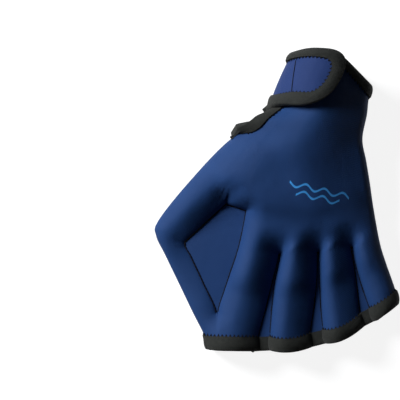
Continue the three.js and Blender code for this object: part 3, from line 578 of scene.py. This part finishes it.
def wave_print(tree, place, under):
    """Two plain wavy lines, screen printed in light blue: a thin even film with crisp edges."""

    def do(operation, *values):
        return sum_of(tree, operation, *values)

    split = node(tree, "ShaderNodeSeparateXYZ", {"Vector": place})
    x, y = (do("MULTIPLY_ADD", split.outputs[axis], 1 / MM, -PRINT_MIDDLE[axis]) for axis in (0, 1))
    cos, sin = math.cos(PRINT_TURN), math.sin(PRINT_TURN)
    on_way = do("MULTIPLY_ADD", x, cos, do("MULTIPLY", y, sin))
    over_way = do("MULTIPLY_ADD", x, -sin, do("MULTIPLY", y, cos))
    wave = do("SINE", do("MULTIPLY", on_way, 2 * math.pi / PRINT_WAVE))
    mask = 0.0
    for lift, reach in PRINT_LINES:
        off = do("ABSOLUTE", do("SUBTRACT", over_way, do("MULTIPLY_ADD", wave, PRINT_RISE, lift)))
        ends = do("LESS_THAN", do("ABSOLUTE", on_way), reach)
        mask = do("MAXIMUM", mask, do("MULTIPLY", do("LESS_THAN", off, PRINT_LINE / 2), ends))
    mask = do("MULTIPLY", mask, do("GREATER_THAN", split.outputs["Z"], PRINT_ABOVE))
    return mixed(tree, mask, under, "#3d8fd6")


RIB = 1.2  # mm between the tape's ribs; real ones are 0.7 mm


def ribbed_tape(name, shade, lit):
    """Nylon stretch binding, woven with ribs across its length: matt charcoal with fine ridges and dust."""
    made, tree, shader = blank(name)
    cloth = node(tree, "ShaderNodeUVMap", uv_map="cloth").outputs["UV"]
    split = node(tree, "ShaderNodeSeparateXYZ", {"Vector": cloth})
    ribs = sum_of(tree, "SINE", sum_of(tree, "MULTIPLY", split.outputs["Y"], 2 * math.pi / RIB))
    yarns = sum_of(tree, "SINE", sum_of(tree, "MULTIPLY", split.outputs["X"], 2 * math.pi / (RIB * 0.8)))
    weave = sum_of(tree, "MULTIPLY", ribs, yarns)
    place = node(tree, "ShaderNodeTexCoord").outputs["Object"]
    fluff = node(tree, "ShaderNodeTexNoise", {"Vector": place, "Scale": 420, "Detail": 4, "Roughness": 0.7})
    cloud = sum_of(tree, "MULTIPLY_ADD", weave, 0.18, fluff.outputs["Fac"])
    raised = sum_of(tree, "MULTIPLY_ADD", fluff.outputs["Fac"], 0.8, weave)
    surface = {"Roughness": 0.8, "Specular IOR Level": 0.15, "Sheen Weight": 0.04}
    wired(tree, shader, mixed(tree, cloud, shade, lit), bump(tree, raised, 0.6, 0.0002), surface)
    return made


def spun_thread(name, shade, lit):
    """Spun polyester sewing thread, twisted: dark, with a dull gleam on each ply."""
    made, tree, shader = blank(name)
    place = node(tree, "ShaderNodeTexCoord").outputs["Object"]
    twist = {"Vector": place, "Scale": 900, "Distortion": 2}
    ply = node(tree, "ShaderNodeTexWave", twist, bands_direction="DIAGONAL")
    plies = ply.outputs["Fac"]
    surface = {"Roughness": 0.8, "Specular IOR Level": 0.15}
    wired(tree, shader, mixed(tree, plies, shade, lit), bump(tree, plies, 0.4, 0.0001), surface)
    return made


def hook_and_loop(name, shade, lit):
    """Nylon hook tape pressed into loop pile: deep matt black, with specks where loops catch light."""
    made, tree, shader = blank(name)
    place = node(tree, "ShaderNodeTexCoord").outputs["Object"]
    hooks = node(tree, "ShaderNodeTexVoronoi", {"Vector": place, "Scale": 700}).outputs["Distance"]
    wired(tree, shader, mixed(tree, hooks, shade, lit), bump(tree, hooks, 0.8, 0.0006), {"Roughness": 0.9})
    return made


navy = neoprene_jersey("navy_jersey_faced_neoprene", "#1a345f", "#1e3b69", printed=True)
navy_web = neoprene_jersey("navy_jersey_faced_web_neoprene", "#1a3561", "#1f3b6a")
strap_blue = neoprene_jersey("blue_jersey_faced_neoprene", "#1b2d57", "#1f3362")
lining = neoprene_jersey("black_jersey_lining", "#15171c", "#1c1f26")
charcoal = ribbed_tape("charcoal_ribbed_binding_tape", "#171918", "#313330")
black_thread = spun_thread("black_polyester_thread", "#060608", "#0e0e11")
pad_black = hook_and_loop("black_hook_and_loop", "#0a0a0b", "#1d1e20")


def dressed(piece, *materials):
    for material in materials:
        piece.data.materials.append(material)


# ---------------------------------------------------------------- panels
def spaced(steps, share):
    places = [i + share(k / count, i) for i, count in enumerate(steps) for k in range(count)]
    return np.array([*places, len(steps)])


LINE_STEPS = [16, 4, 4, 18, 3, 18, 3, 18, 3, 16]
ROW_STEPS = [7, 10, 12, 14, 18, 8, 12, 10, 10, 14, 12]
LINE_PLACES = spaced(LINE_STEPS, lambda t, i: (1 - math.cos(math.pi * t)) / 2 if LINE_STEPS[i] > 4 else t)
ROW_PLACES = spaced(ROW_STEPS, lambda t, i: t * t if i in (KNUCKLES, WEB_TOP) else t)


def lines_between(start, end):
    return LINE_PLACES[(LINE_PLACES >= start) & (LINE_PLACES <= end)]


def is_web(line, row):
    finger = (row < KNUCKLES) & (line > FIRST_VALLEY) & (line < LITTLE_EDGE) & (np.floor(line) % 2 == 0)
    thumb = (row > WEB_FOOT) & (row < WEB_TOP) & (line > STRIP_SEAM) & (line < WEB_SEAM)
    return finger | thumb


def panel(side, name, part):
    rows, lines = np.meshgrid(ROW_PLACES, LINE_PLACES, indexing="ij")
    points = face(side, plan(side, lines, rows)).reshape(*rows.shape, 3)
    middles = [(places[:-1] + places[1:]) / 2 for places in (LINE_PLACES, ROW_PLACES)]
    made = grid_piece(name, points, left_out=is_web(*np.meshgrid(*middles)))
    if side == PALM:
        flip(made)
    dressed(made, navy, lining)
    thickened(made, NEOPRENE, inner_material=lining)
    fitted(made, part)


panel(BACK, "neoprene_back", "back_panel")
panel(PALM, "neoprene_palm", "palm_panel")


# ---------------------------------------------------------------- webs
def web(part, left, right, foot, top):
    """A plate of thicker neoprene on the seam, lapped under the walls beside it."""
    rows = [foot or WEB_HEM_ROW, *ROW_PLACES[(ROW_PLACES > foot) & (ROW_PLACES <= top)]]
    lines = lines_between(left, right)

    def lapped(start, towards):
        return start + WEB_LAP * unit(towards - start)

    def across(row):
        points = plan(BACK, lines, row)
        before = lapped(points[:1], plan(BACK, left - 1, row))
        after = lapped(points[-1:], plan(BACK, right + 1, row))
        return np.vstack([before, points, after])

    layout = [across(row) for row in rows]
    layout.append(lapped(across(top), across(top + 1)))
    if foot > 0:
        layout.insert(0, lapped(across(foot), across(foot - 1)))
    layout = np.array(layout)
    points = np.dstack([layout, seam_height(layout[..., 1]) + WEB_NEOPRENE / 2])
    made = grid_piece(f"neoprene_{part}", points)
    dressed(made, navy_web)
    thickened(made, WEB_NEOPRENE)
    fitted(made, part)


web("thumb_web", STRIP_SEAM, WEB_SEAM, WEB_FOOT, WEB_TOP)
for web_name, left in zip(("index_middle_web", "middle_ring_web", "ring_little_web"), FINGER_WEBS):
    web(web_name, left, left + 1, 0, KNUCKLES)


# ---------------------------------------------------------------- bindings
TUBES = ((0, 4), (5, 6), (7, 8), (9, 10))  # the lines that each finger's tube runs between
WRIST_TUBE = (-1, LITTLE_EDGE)  # the wrist is open at its first line, so no wall stands on a seam there
TAPE_SMOOTH = 40  # degrees; tapes keep their folded edges
TAPE_SWELL = 0.6  # mm that a tape swells between its edges
TAPE_TURN = 0.6  # mm from the edge of the cloth, where a tape starts to turn over it


def fold(width):
    """A tape's section round an edge, as pairs of depth in from the edge and distance off the face."""
    turn = np.linspace(0, math.pi / 2, 5)
    outer = [(d, FAR + TAPE_SWELL * math.sin(math.pi * d / width)) for d in np.linspace(width, TAPE_TURN, 8)]
    upper = [(-FAR * math.sin(a), FAR * math.cos(a)) for a in turn]
    lower = [(-FAR * math.cos(a), -NEOPRENE - FAR * math.sin(a)) for a in turn]
    inner = [(d, -NEOPRENE - FAR) for d in np.linspace(TAPE_TURN, INNER_TAPE_WIDTH, 4)]
    return np.array(outer + upper + lower + inner)


def row_skin(side, lines, row, next_row, depth, off, tube):
    """Points across the hem or the rim: depth in from the pattern's end row towards the next one."""
    edge = skin(side, lines, np.full_like(lines, row), 0, tube)
    inner = skin(side, lines, np.full_like(lines, next_row), 0, tube)
    share = depth / np.linalg.norm(inner - edge, axis=1)
    at = skin(side, lines, row + (next_row - row) * np.maximum(share, 0), off, tube)
    return at + (inner - edge) * np.minimum(share, 0)[:, None]


def row_binding(name, side, tube, row, next_row, width):
    lines = lines_between(*tube)
    return binding_piece(name, [row_skin(side, lines, row, next_row, *place, tube) for place in fold(width)])


def binding_piece(name, rows, drop=0):
    """Tape from its outer face's points, in rows along it; it faces away from drop mm under its middle."""
    points = np.array(rows).swapaxes(0, 1)
    points[..., 2] = np.maximum(points[..., 2], 0.0)
    made = grid_piece(name, points)
    turned_out(made, points.mean(axis=(0, 1)) - (0, 0, drop))
    dressed(made, charcoal)
    thickened(made, TAPE)
    fitted(made, angle=TAPE_SMOOTH)
    return made


FIRST_ROW = 1.0  # row number; the hem's tape is measured along the pattern's first stretch
SHELF_LAP = 1.2  # mm that the tape over a web's end reaches into the walls beside it
SHELF_INSIDE = 8  # mm from its middle to the side that it covers


def web_shelf(name, side, left):
    """The hem's tape over a finger web: a flat shelf that folds down over the web's end."""
    lift = WEB_NEOPRENE / 2 + 2 * GAP + TAPE
    shares = np.linspace(0, 1, 5)
    edge, inner = plan(side, left + shares, 0), plan(side, left + shares, 1)
    inward, across = unit(inner - edge), unit(plan(side, left + 1, 0) - plan(side, left, 0))
    sideways = across * lerp(-SHELF_LAP, SHELF_LAP, shares)[:, None]
    flat = [(depth, 0) for depth in np.linspace(HEM_TAPE_WIDTH, 0, 6)]
    rows = []
    for depth, drop in flat + [(-FAR * 0.7, FAR * 0.3), (-FAR, lift - GAP / 2)]:
        places = edge + inward * depth + sideways
        rows.append(np.column_stack([places, seam_height(places[:, 1]) + side * (lift - drop)]))
    return binding_piece(name, rows, drop=side * SHELF_INSIDE)


def hem_binding(side, name):
    tapes = [row_binding(name, side, tube, 0, FIRST_ROW, HEM_TAPE_WIDTH) for tube in TUBES]
    shelves = [web_shelf(name, side, left) for left in FINGER_WEBS]
    joined(f"tape_{name}", tapes + shelves, name)


def joined(name, parts, stands_for=None):
    select(*parts)
    bpy.ops.object.join()
    made = bpy.context.active_object
    made.name = made.data.name = name
    if stands_for:
        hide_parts(stands_for)
    return made


hem_binding(BACK, "hem_binding_back")
hem_binding(PALM, "hem_binding_palm")


def slit_binding(side, name):
    """Tape round the slit's edge, on the pattern's first line above the slit's foot."""
    start = SLIT_FOOT + 0.01 if side == BACK else SLIT_TAPE_FROM
    rows = np.concatenate([[start], ROW_PLACES[ROW_PLACES > start + 0.02]])
    line_at = slit_lines(side, rows)
    share = np.interp(rows, (SLIT_FOOT, SLIT_TAPE_FROM), (SLIT_TAPE_FOOT, 1)) if side == BACK else 1
    section = fold(WRIST_TAPE_WIDTH)
    return binding_piece(name, [slit_skin(side, rows, line_at, depth * share, off) for depth, off in section])


SLIT_EDGE = 3.0  # mm in from the slit's edge, over which the way out of the cloth is taken


def slit_lines(side, rows):
    """A function that gives line numbers at a depth in from the slit's edge, in mm along the cloth."""
    lines = np.linspace(0, FIRST_VALLEY, 17)
    across = np.array([face(side, plan(side, np.full_like(rows, line), rows)) for line in lines])
    gone = np.vstack([np.zeros(len(rows)), np.linalg.norm(np.diff(across, axis=0), axis=2).cumsum(0)])

    def line_at(depth):
        depth = np.broadcast_to(depth, rows.shape)
        return np.array([np.interp(depth[k], gone[:, k], lines) for k in range(len(rows))])

    return line_at


def slit_skin(side, rows, line_at, depth, off):
    """Points along the slit: depth in from its edge, and off the panel's face."""
    edge = skin(side, np.zeros_like(rows), rows, 0)
    inner = skin(side, line_at(SLIT_EDGE), rows, 0)
    outward = unit(edge - inner)
    beyond = np.maximum(-np.broadcast_to(depth, rows.shape), 0)
    return skin(side, line_at(np.maximum(depth, 0)), rows, off) + outward * beyond[:, None]


def wrist_binding(side, name):
    rim = row_binding(name, side, WRIST_TUBE, RIM, RIM - 1, WRIST_TAPE_WIDTH)
    joined(f"tape_{name}", [rim, slit_binding(side, name)], name)


wrist_binding(BACK, "wrist_binding_back")
wrist_binding(PALM, "wrist_binding_palm")

# ---------------------------------------------------------------- strap
STRAP_WIDTH, STRAP_ROOT_WIDTH = 36.6, 28
STRAP_ROOT_ANGLE, STRAP_SEWN_ANGLE, STRAP_FREE_ANGLE = -37, -31, -24
STRAP_WIDE_ANGLE, STRAP_ROUND_ANGLE, STRAP_TIP_ANGLE = 52, 57, 85
STRAP_FULL_ANGLE, STRAP_TAPE_FROM, STRAP_SEAM_ANGLE = -4, -31, 20
STRAP_BLUNTNESS = 0.8  # power of the rounded end's curve; 1 is an ellipse
# The strap's lower corner at the thumb side is drawn in to the slit's tape, mm on the pattern
STRAP_CORNER, STRAP_CORNER_SPREAD, STRAP_CORNER_PULL = np.array([73, 168]), 6, np.array([3.0, -2.2])
STRAP_ROOT_PLACE, STRAP_TIP_PLACE = 0.877, 0.898
STRAP_SEWN_LIFT, STRAP_LIFT, STRAP_TAPE_GAP = 2.8, 3.9, 0.5
# The tape's width along the lower edge, at the end and along the upper edge, and where on its way round
STRAP_TAPE_WIDTHS, STRAP_TAPE_PLACES = (7.6, 6, 5), (0.35, 0.5, 0.65)
PAD_THICKNESS, PAD_WIDTH, PAD_FROM_ANGLE, PAD_TO_ANGLE = 3.1, 13, 44, 70
PAD_EDGE = 0.4
INSIDE_WRIST = (SPAN * 0.7, LENGTH * 0.9, 22)


def around_wrist(degrees):
    return EDGE_ROUND * (1 - np.cos(np.radians(degrees)))


def strap_middle(angle):
    return LENGTH * lerp(STRAP_ROOT_PLACE, STRAP_TIP_PLACE, smooth(0, STRAP_WIDE_ANGLE, angle))


def strap_half(angle):
    return lerp(STRAP_ROOT_WIDTH, STRAP_WIDTH, smooth(STRAP_ROOT_ANGLE, STRAP_FULL_ANGLE, angle)) / 2


def strap_lift(angle):
    return lerp(STRAP_SEWN_LIFT, STRAP_LIFT, smooth(STRAP_SEWN_ANGLE, STRAP_FREE_ANGLE, angle))


NEAR_SEAM = 0.15  # mm; nearer to the seam than this a face's slope is taken from here
side_lean = np.gradient(wrist_side[:, 0], wrist_side[:, 1])  # mm across per mm towards the rim


def over_wrist(reach, below, y, lift):
    """Points off the wrist: reach in plan from its thumb side, on the palm where below is set."""
    reach, below, y, lift = (a.ravel() for a in np.broadcast_arrays(reach, below, y, lift))
    out = np.empty((len(y), 3))
    for side in (BACK, PALM):
        mine = below == (side == PALM)
        if not mine.any():
            continue
        side_x = np.interp(y[mine], wrist_side[:, 1], wrist_side[:, 0])
        on = np.column_stack([side_x + reach[mine], y[mine]])
        upright = reach[mine] < 0.01
        lean_at = np.column_stack([side_x + np.maximum(reach[mine], NEAR_SEAM), y[mine]])
        normal = face_normal(side, lean_at, flap=False)
        run = np.interp(on[upright, 1], wrist_side[:, 1], side_lean)
        normal[upright] = levelled(np.column_stack([-np.ones_like(run), run, np.zeros_like(run)]))
        out[mine] = face(side, on, flap=False) + normal * lift[mine][:, None]
    pull = np.exp(-((out[:, :2] - STRAP_CORNER) ** 2).sum(1) / STRAP_CORNER_SPREAD**2)
    out[:, :2] += pull[:, None] * STRAP_CORNER_PULL
    return out


def strap_place(angle, share):
    angle, share = np.broadcast_arrays(np.asarray(angle, float), np.asarray(share, float))
    return around_wrist(angle), angle < 0, strap_middle(angle) + share * strap_half(angle), strap_lift(angle)


def strap_end(turn, share=1.0):
    """Places on the rounded end's curve, turn 0 at its lower corner and 180 at its upper one."""
    start = around_wrist(STRAP_ROUND_ANGLE)
    length = around_wrist(STRAP_TIP_ANGLE) - start
    t = np.radians(np.asarray(turn, float) - 90)
    y = strap_middle(STRAP_TIP_ANGLE) + share * STRAP_WIDTH * np.sin(t) / 2
    return start + share * length * np.maximum(np.cos(t), 0) ** STRAP_BLUNTNESS, y


def strap():
    angles = np.concatenate([
        np.linspace(STRAP_ROOT_ANGLE, STRAP_SEWN_ANGLE, 4)[:-1],
        np.linspace(STRAP_SEWN_ANGLE, STRAP_FREE_ANGLE, 5)[:-1],
        np.linspace(STRAP_FREE_ANGLE, STRAP_ROUND_ANGLE, 40),
    ])
    shares = np.linspace(-1, 1, 17)
    stations = [over_wrist(*strap_place(angle, shares)[:3], strap_lift(angle) + NEOPRENE) for angle in angles]
    for turn in (80, 72, 63, 54, 45, 36, 27, 18, 10, 4):
        reach, low = strap_end(90 - turn)
        _, high = strap_end(90 + turn)
        y = lerp(low, high, (shares + 1) / 2)
        stations.append(over_wrist(reach, False, y, STRAP_LIFT + NEOPRENE))
    made = grid_piece("neoprene_wrist_strap", np.array(stations))
    turned_out(made, INSIDE_WRIST)
    dressed(made, strap_blue, lining)
    thickened(made, NEOPRENE, inner_material=lining)
    fitted(made, "wrist_strap")


strap()


def strap_edge():
    """Columns round the strap's bound edge: place and the direction into the strap, in reach and y."""
    bound = np.linspace(STRAP_TAPE_FROM, STRAP_ROUND_ANGLE, 37)
    turns = np.linspace(0, 180, 31)[1:-1]
    t = np.radians(turns - 90)
    end_reach, end_y = strap_end(turns)
    flat, around = np.zeros_like(bound), np.zeros_like(turns)
    lower = [*strap_place(bound, -1), flat, flat + 1]
    end = [end_reach, around, end_y, around + STRAP_LIFT, -np.cos(t), -np.sin(t)]
    upper = [*strap_place(bound[::-1], 1), flat, flat - 1]
    return [np.concatenate(column).astype(float) for column in zip(lower, end, upper)]


def strap_edge_points(share, more, off):
    """Points over the strap's edge: in from it by a share of the tape's width and some more, off its face."""
    reach, below, y, lift, in_reach, in_y = strap_edge()
    width = np.interp(np.linspace(0, 1, len(y)), STRAP_TAPE_PLACES, STRAP_TAPE_WIDTHS)
    depth = share * width + more
    return over_wrist(reach + in_reach * depth, below > 0.5, y + in_y * depth, lift + NEOPRENE + off)


def strap_binding():
    clear, thick = STRAP_TAPE_GAP, STRAP_TAPE_GAP + TAPE
    turn = np.linspace(0, math.pi / 2, 5)
    section = [(share, 0, thick + TAPE_SWELL * math.sin(math.pi * share)) for share in np.linspace(1, 0.1, 8)]
    section += [(0, -thick * math.sin(a), thick * math.cos(a)) for a in turn]
    section += [(0, -thick * math.cos(a), -NEOPRENE - thick * math.sin(a)) for a in turn]
    section += [(share, 0, -NEOPRENE - thick) for share in np.linspace(0.1, 0.7, 4)]
    points = np.array([strap_edge_points(*place) for place in section]).swapaxes(0, 1)
    made = grid_piece("tape_strap_binding", points)
    top = max(p.center.z for p in made.data.polygons) - 4 * MM
    if sum(p.normal.z * p.area for p in made.data.polygons if p.center.z > top) < 0:
        flip(made)
    dressed(made, charcoal)
    thickened(made, TAPE)
    fitted(made, "strap_binding", angle=TAPE_SMOOTH)


strap_binding()


def pad():
    over = np.linspace(-PAD_WIDTH, PAD_WIDTH, 7) / 2
    rows = []
    for angle in np.linspace(PAD_FROM_ANGLE, PAD_TO_ANGLE, 9):
        rows.append(over_wrist(around_wrist(angle), False, strap_middle(angle) + over, STRAP_LIFT - GAP))
    made = grid_piece("nylon_hook_and_loop_pad", np.array(rows))
    turned_out(made, INSIDE_WRIST)
    dressed(made, pad_black)
    thickened(made, PAD_THICKNESS)
    edge = made.modifiers.new("soft_edge", "BEVEL")
    edge.width = PAD_EDGE * MM
    edge.segments = 2
    bpy.ops.object.modifier_apply(modifier=edge.name)
    fitted(made, "hook_and_loop_pad")


pad()

# ---------------------------------------------------------------- stitches
PITCH, SEAM_PITCH = 2.8, 2.4  # mm from stitch to stitch, along a tape and along a web's seam
THREAD = 0.7  # mm thick, drawn coarser than the real 0.3 mm so that it shows
WEB_SEAM_THREAD_AND_CREASE_SHADE = 1.2  # mm thick; this wide black thread is partly the web seams' stitches and partly painted shade of the creases along them
SEAM_FILL, STRAP_SEAM_FILL = 0.8, 0.72  # share of the way that a stitch covers, the rest is the space between
SEAM_INSET, SEAM_CLEAR = 0.3, 0.4  # inside a web's outline, and clear of the hem's tape
ON_TAPE, ON_CLOTH = 2.2, 0.9  # how far a stitch reaches to either side of a tape's edge
OVER_TAPE, OVER_CLOTH, OVER_SEAM = 0.12, 0.15, 0.1  # height of its middle line


def stitch():
    """A stitch one millimetre long and thick, along X, its ends dipping into the cloth."""
    select()
    bpy.ops.mesh.primitive_uv_sphere_add(segments=8, ring_count=5, radius=0.5 * MM)
    made = bpy.context.active_object
    bpy.ops.transform.rotate(value=math.pi / 2, orient_axis="Y", center_override=(0, 0, 0))
    bpy.ops.object.transform_apply(location=True, rotation=True, scale=True)
    return made


def sewn(name, legs, thick=THREAD):
    """A seam's thread from legs: start, end and the way up, in mm on the pattern."""
    model = stitch()
    dressed(model, black_thread)
    copies = []
    for start, end, up in legs:
        start, end = (Vector((x, y, max(z, thick / 2))) for x, y, z in (start, end))
        run = end - start
        x = run.normalized()
        z = (Vector(up) - x * Vector(up).dot(x)).normalized()
        scale = Matrix.Diagonal((run.length + thick, thick, thick, 1))
        turn = Matrix((x, z.cross(x), z)).transposed().to_4x4()
        place = Matrix.Translation(Vector(in_frame((start + end) / 2)))
        copy = bpy.data.objects.new(name, model.data.copy())
        copy.data.transform(place @ turn @ scale)
        bpy.context.scene.collection.objects.link(copy)
        copies.append(copy)
    made = joined(name, copies)
    bpy.data.objects.remove(model)
    fitted(made, angle=80)


def length_along(points):
    return np.concatenate([[0], np.linalg.norm(np.diff(points, axis=0), axis=1).cumsum()])


def at_length(place, length, points):
    return [np.interp(place, length, points[:, axis]) for axis in range(3)]


def zigzag(on_tape, on_cloth, up):
    """Legs that cross a tape's inner edge, between two lines of points that run side by side."""
    length = length_along(on_cloth)
    marks = np.linspace(0, length[-1], max(2, round(length[-1] / (PITCH / 2))) + 1)
    ends = [at_length(mark, length, on_tape if k % 2 else on_cloth) for k, mark in enumerate(marks)]
    return list(zip(ends[:-1], ends[1:], [at_length(mark, length, up) for mark in marks[1:]]))


def running(points):
    """Legs in a row along a line of points, with a small space between them."""
    length = length_along(points)
    legs = []
    for mark in np.arange(0, length[-1] - SEAM_PITCH, SEAM_PITCH):
        ends = [at_length(place, length, points) for place in (mark, mark + SEAM_FILL * SEAM_PITCH)]
        legs.append((*ends, (0, 0, 1)))
    return legs


def over_edge(at, width):
    """Legs over a tape's inner edge, where at gives points at a depth in from the bound edge and a height."""
    up = at(width, 1) - at(width, 0)
    return zigzag(at(width - ON_TAPE, FAR + OVER_TAPE), at(width + ON_CLOTH, OVER_CLOTH), up)


def row_stitches(side, tube, row, next_row, width):
    lines = lines_between(*tube)
    return over_edge(lambda depth, off: row_skin(side, lines, row, next_row, depth, off, tube), width)


def slit_stitches(side):
    rows = np.linspace(SLIT_TAPE_FROM + 0.05, RIM - 0.4, 60)
    line_at = slit_lines(side, rows)
    return over_edge(lambda depth, off: slit_skin(side, rows, line_at, depth, off), WRIST_TAPE_WIDTH)


def web_stitches(outline):
    """Legs just inside a web's outline, as far as it shows above the hem's tape. Drawn thick and black, they
    are partly stitches and partly painted shade of the crease along the seam.
    """
    inward = outline.mean(0) - outline
    covered = HEM_TAPE_WIDTH + SEAM_CLEAR + np.interp(outline[:, 0], *np.array(HEM_LINE).T)
    shown = outline[:, 1] > covered
    places = (outline + SEAM_INSET * unit(inward))[shown]
    return running(np.column_stack([places, seam_height(places[:, 1]) + WEB_NEOPRENE / 2 + OVER_SEAM]))


STRAP_SEAM_REACH = (10.5, 4.0)  # of the lower and upper end of the straight seam that holds the hook tape
STRAP_SEAM_HALF, STRAP_SEAM_POINTS = 0.7, 28  # share of the strap's half width, and points along the seam


def strap_stitches():
    up = strap_edge_points(1, 0, 1) - strap_edge_points(1, 0, 0)
    on_tape = strap_edge_points(1, -ON_TAPE, STRAP_TAPE_GAP + TAPE + OVER_TAPE)
    legs = zigzag(on_tape, strap_edge_points(1, ON_CLOTH, OVER_CLOTH), up)
    across = np.linspace(-1, 1, STRAP_SEAM_POINTS) * STRAP_SEAM_HALF
    y = strap_middle(STRAP_SEAM_ANGLE) + across * STRAP_WIDTH / 2
    reach = np.linspace(*STRAP_SEAM_REACH, len(y))
    points = over_wrist(reach, False, y, STRAP_LIFT + NEOPRENE + OVER_SEAM)
    up = points - over_wrist(reach, False, y, STRAP_LIFT)
    return legs + list(zip(points[:-1], lerp(points[:-1], points[1:], STRAP_SEAM_FILL), up[:-1]))


for side, name in ((BACK, "hem_stitches_back"), (PALM, "hem_stitches_palm")):
    sewn(name, sum((row_stitches(side, tube, 0, FIRST_ROW, HEM_TAPE_WIDTH) for tube in TUBES), []))
for side, name in ((BACK, "wrist_stitches_back"), (PALM, "wrist_stitches_palm")):
    sewn(name, row_stitches(side, WRIST_TUBE, RIM, RIM - 1, WRIST_TAPE_WIDTH) + slit_stitches(side))
# The web seams' thread is partly stitches and partly painted shade: a thick dark line in the creases beside
# the webs.
sewn("web_seam_stitches_and_crease_shade", sum(map(web_stitches, WEB_SEAMS), []), WEB_SEAM_THREAD_AND_CREASE_SHADE)
sewn("strap_stitches", strap_stitches())

# ---------------------------------------------------------------- floor and lights
select()
bpy.ops.mesh.primitive_plane_add(size=6, location=(0, 0, 0))
floor = bpy.context.active_object
floor.name = "floor"
white, _, white_shader = blank("matt_white_table")
glow = {"Emission Color": linear("#ffffff"), "Emission Strength": 0.88}
set_sockets(white_shader, {"Base Color": linear("#8c8c8c"), "Roughness": 0.9, **glow})
dressed(floor, white)
floor.visible_diffuse = False


def soft_light(name, place, size, power, colour="#ffffff"):
    """A round soft lamp that looks at the middle of the glove, in metres and watts."""
    data = bpy.data.lights.new(name, "AREA")
    data.shape = "DISK"
    data.size = size
    data.energy = power
    data.color = linear(colour)[:3]
    lamp = bpy.data.objects.new(name, data)
    lamp.location = place
    aim = Vector((0, 0, GLOVE_MIDDLE_HEIGHT * MM)) - Vector(place)
    lamp.rotation_euler = aim.to_track_quat("-Z", "Y").to_euler()
    bpy.context.scene.collection.objects.link(lamp)


soft_light("key_from_the_thumb_side", (-0.75, 0.43, 0.53), size=0.42, power=18.5, colour="#fbfcff")
soft_light("fill_from_above", (-0.2, -0.1, 1.6), size=1.0, power=0.6)

world = bpy.data.worlds.new("studio")
world.use_nodes = True
set_sockets(world.node_tree.nodes["Background"], {"Color": linear("#eef1f6"), "Strength": 0.02})
bpy.context.scene.world = world
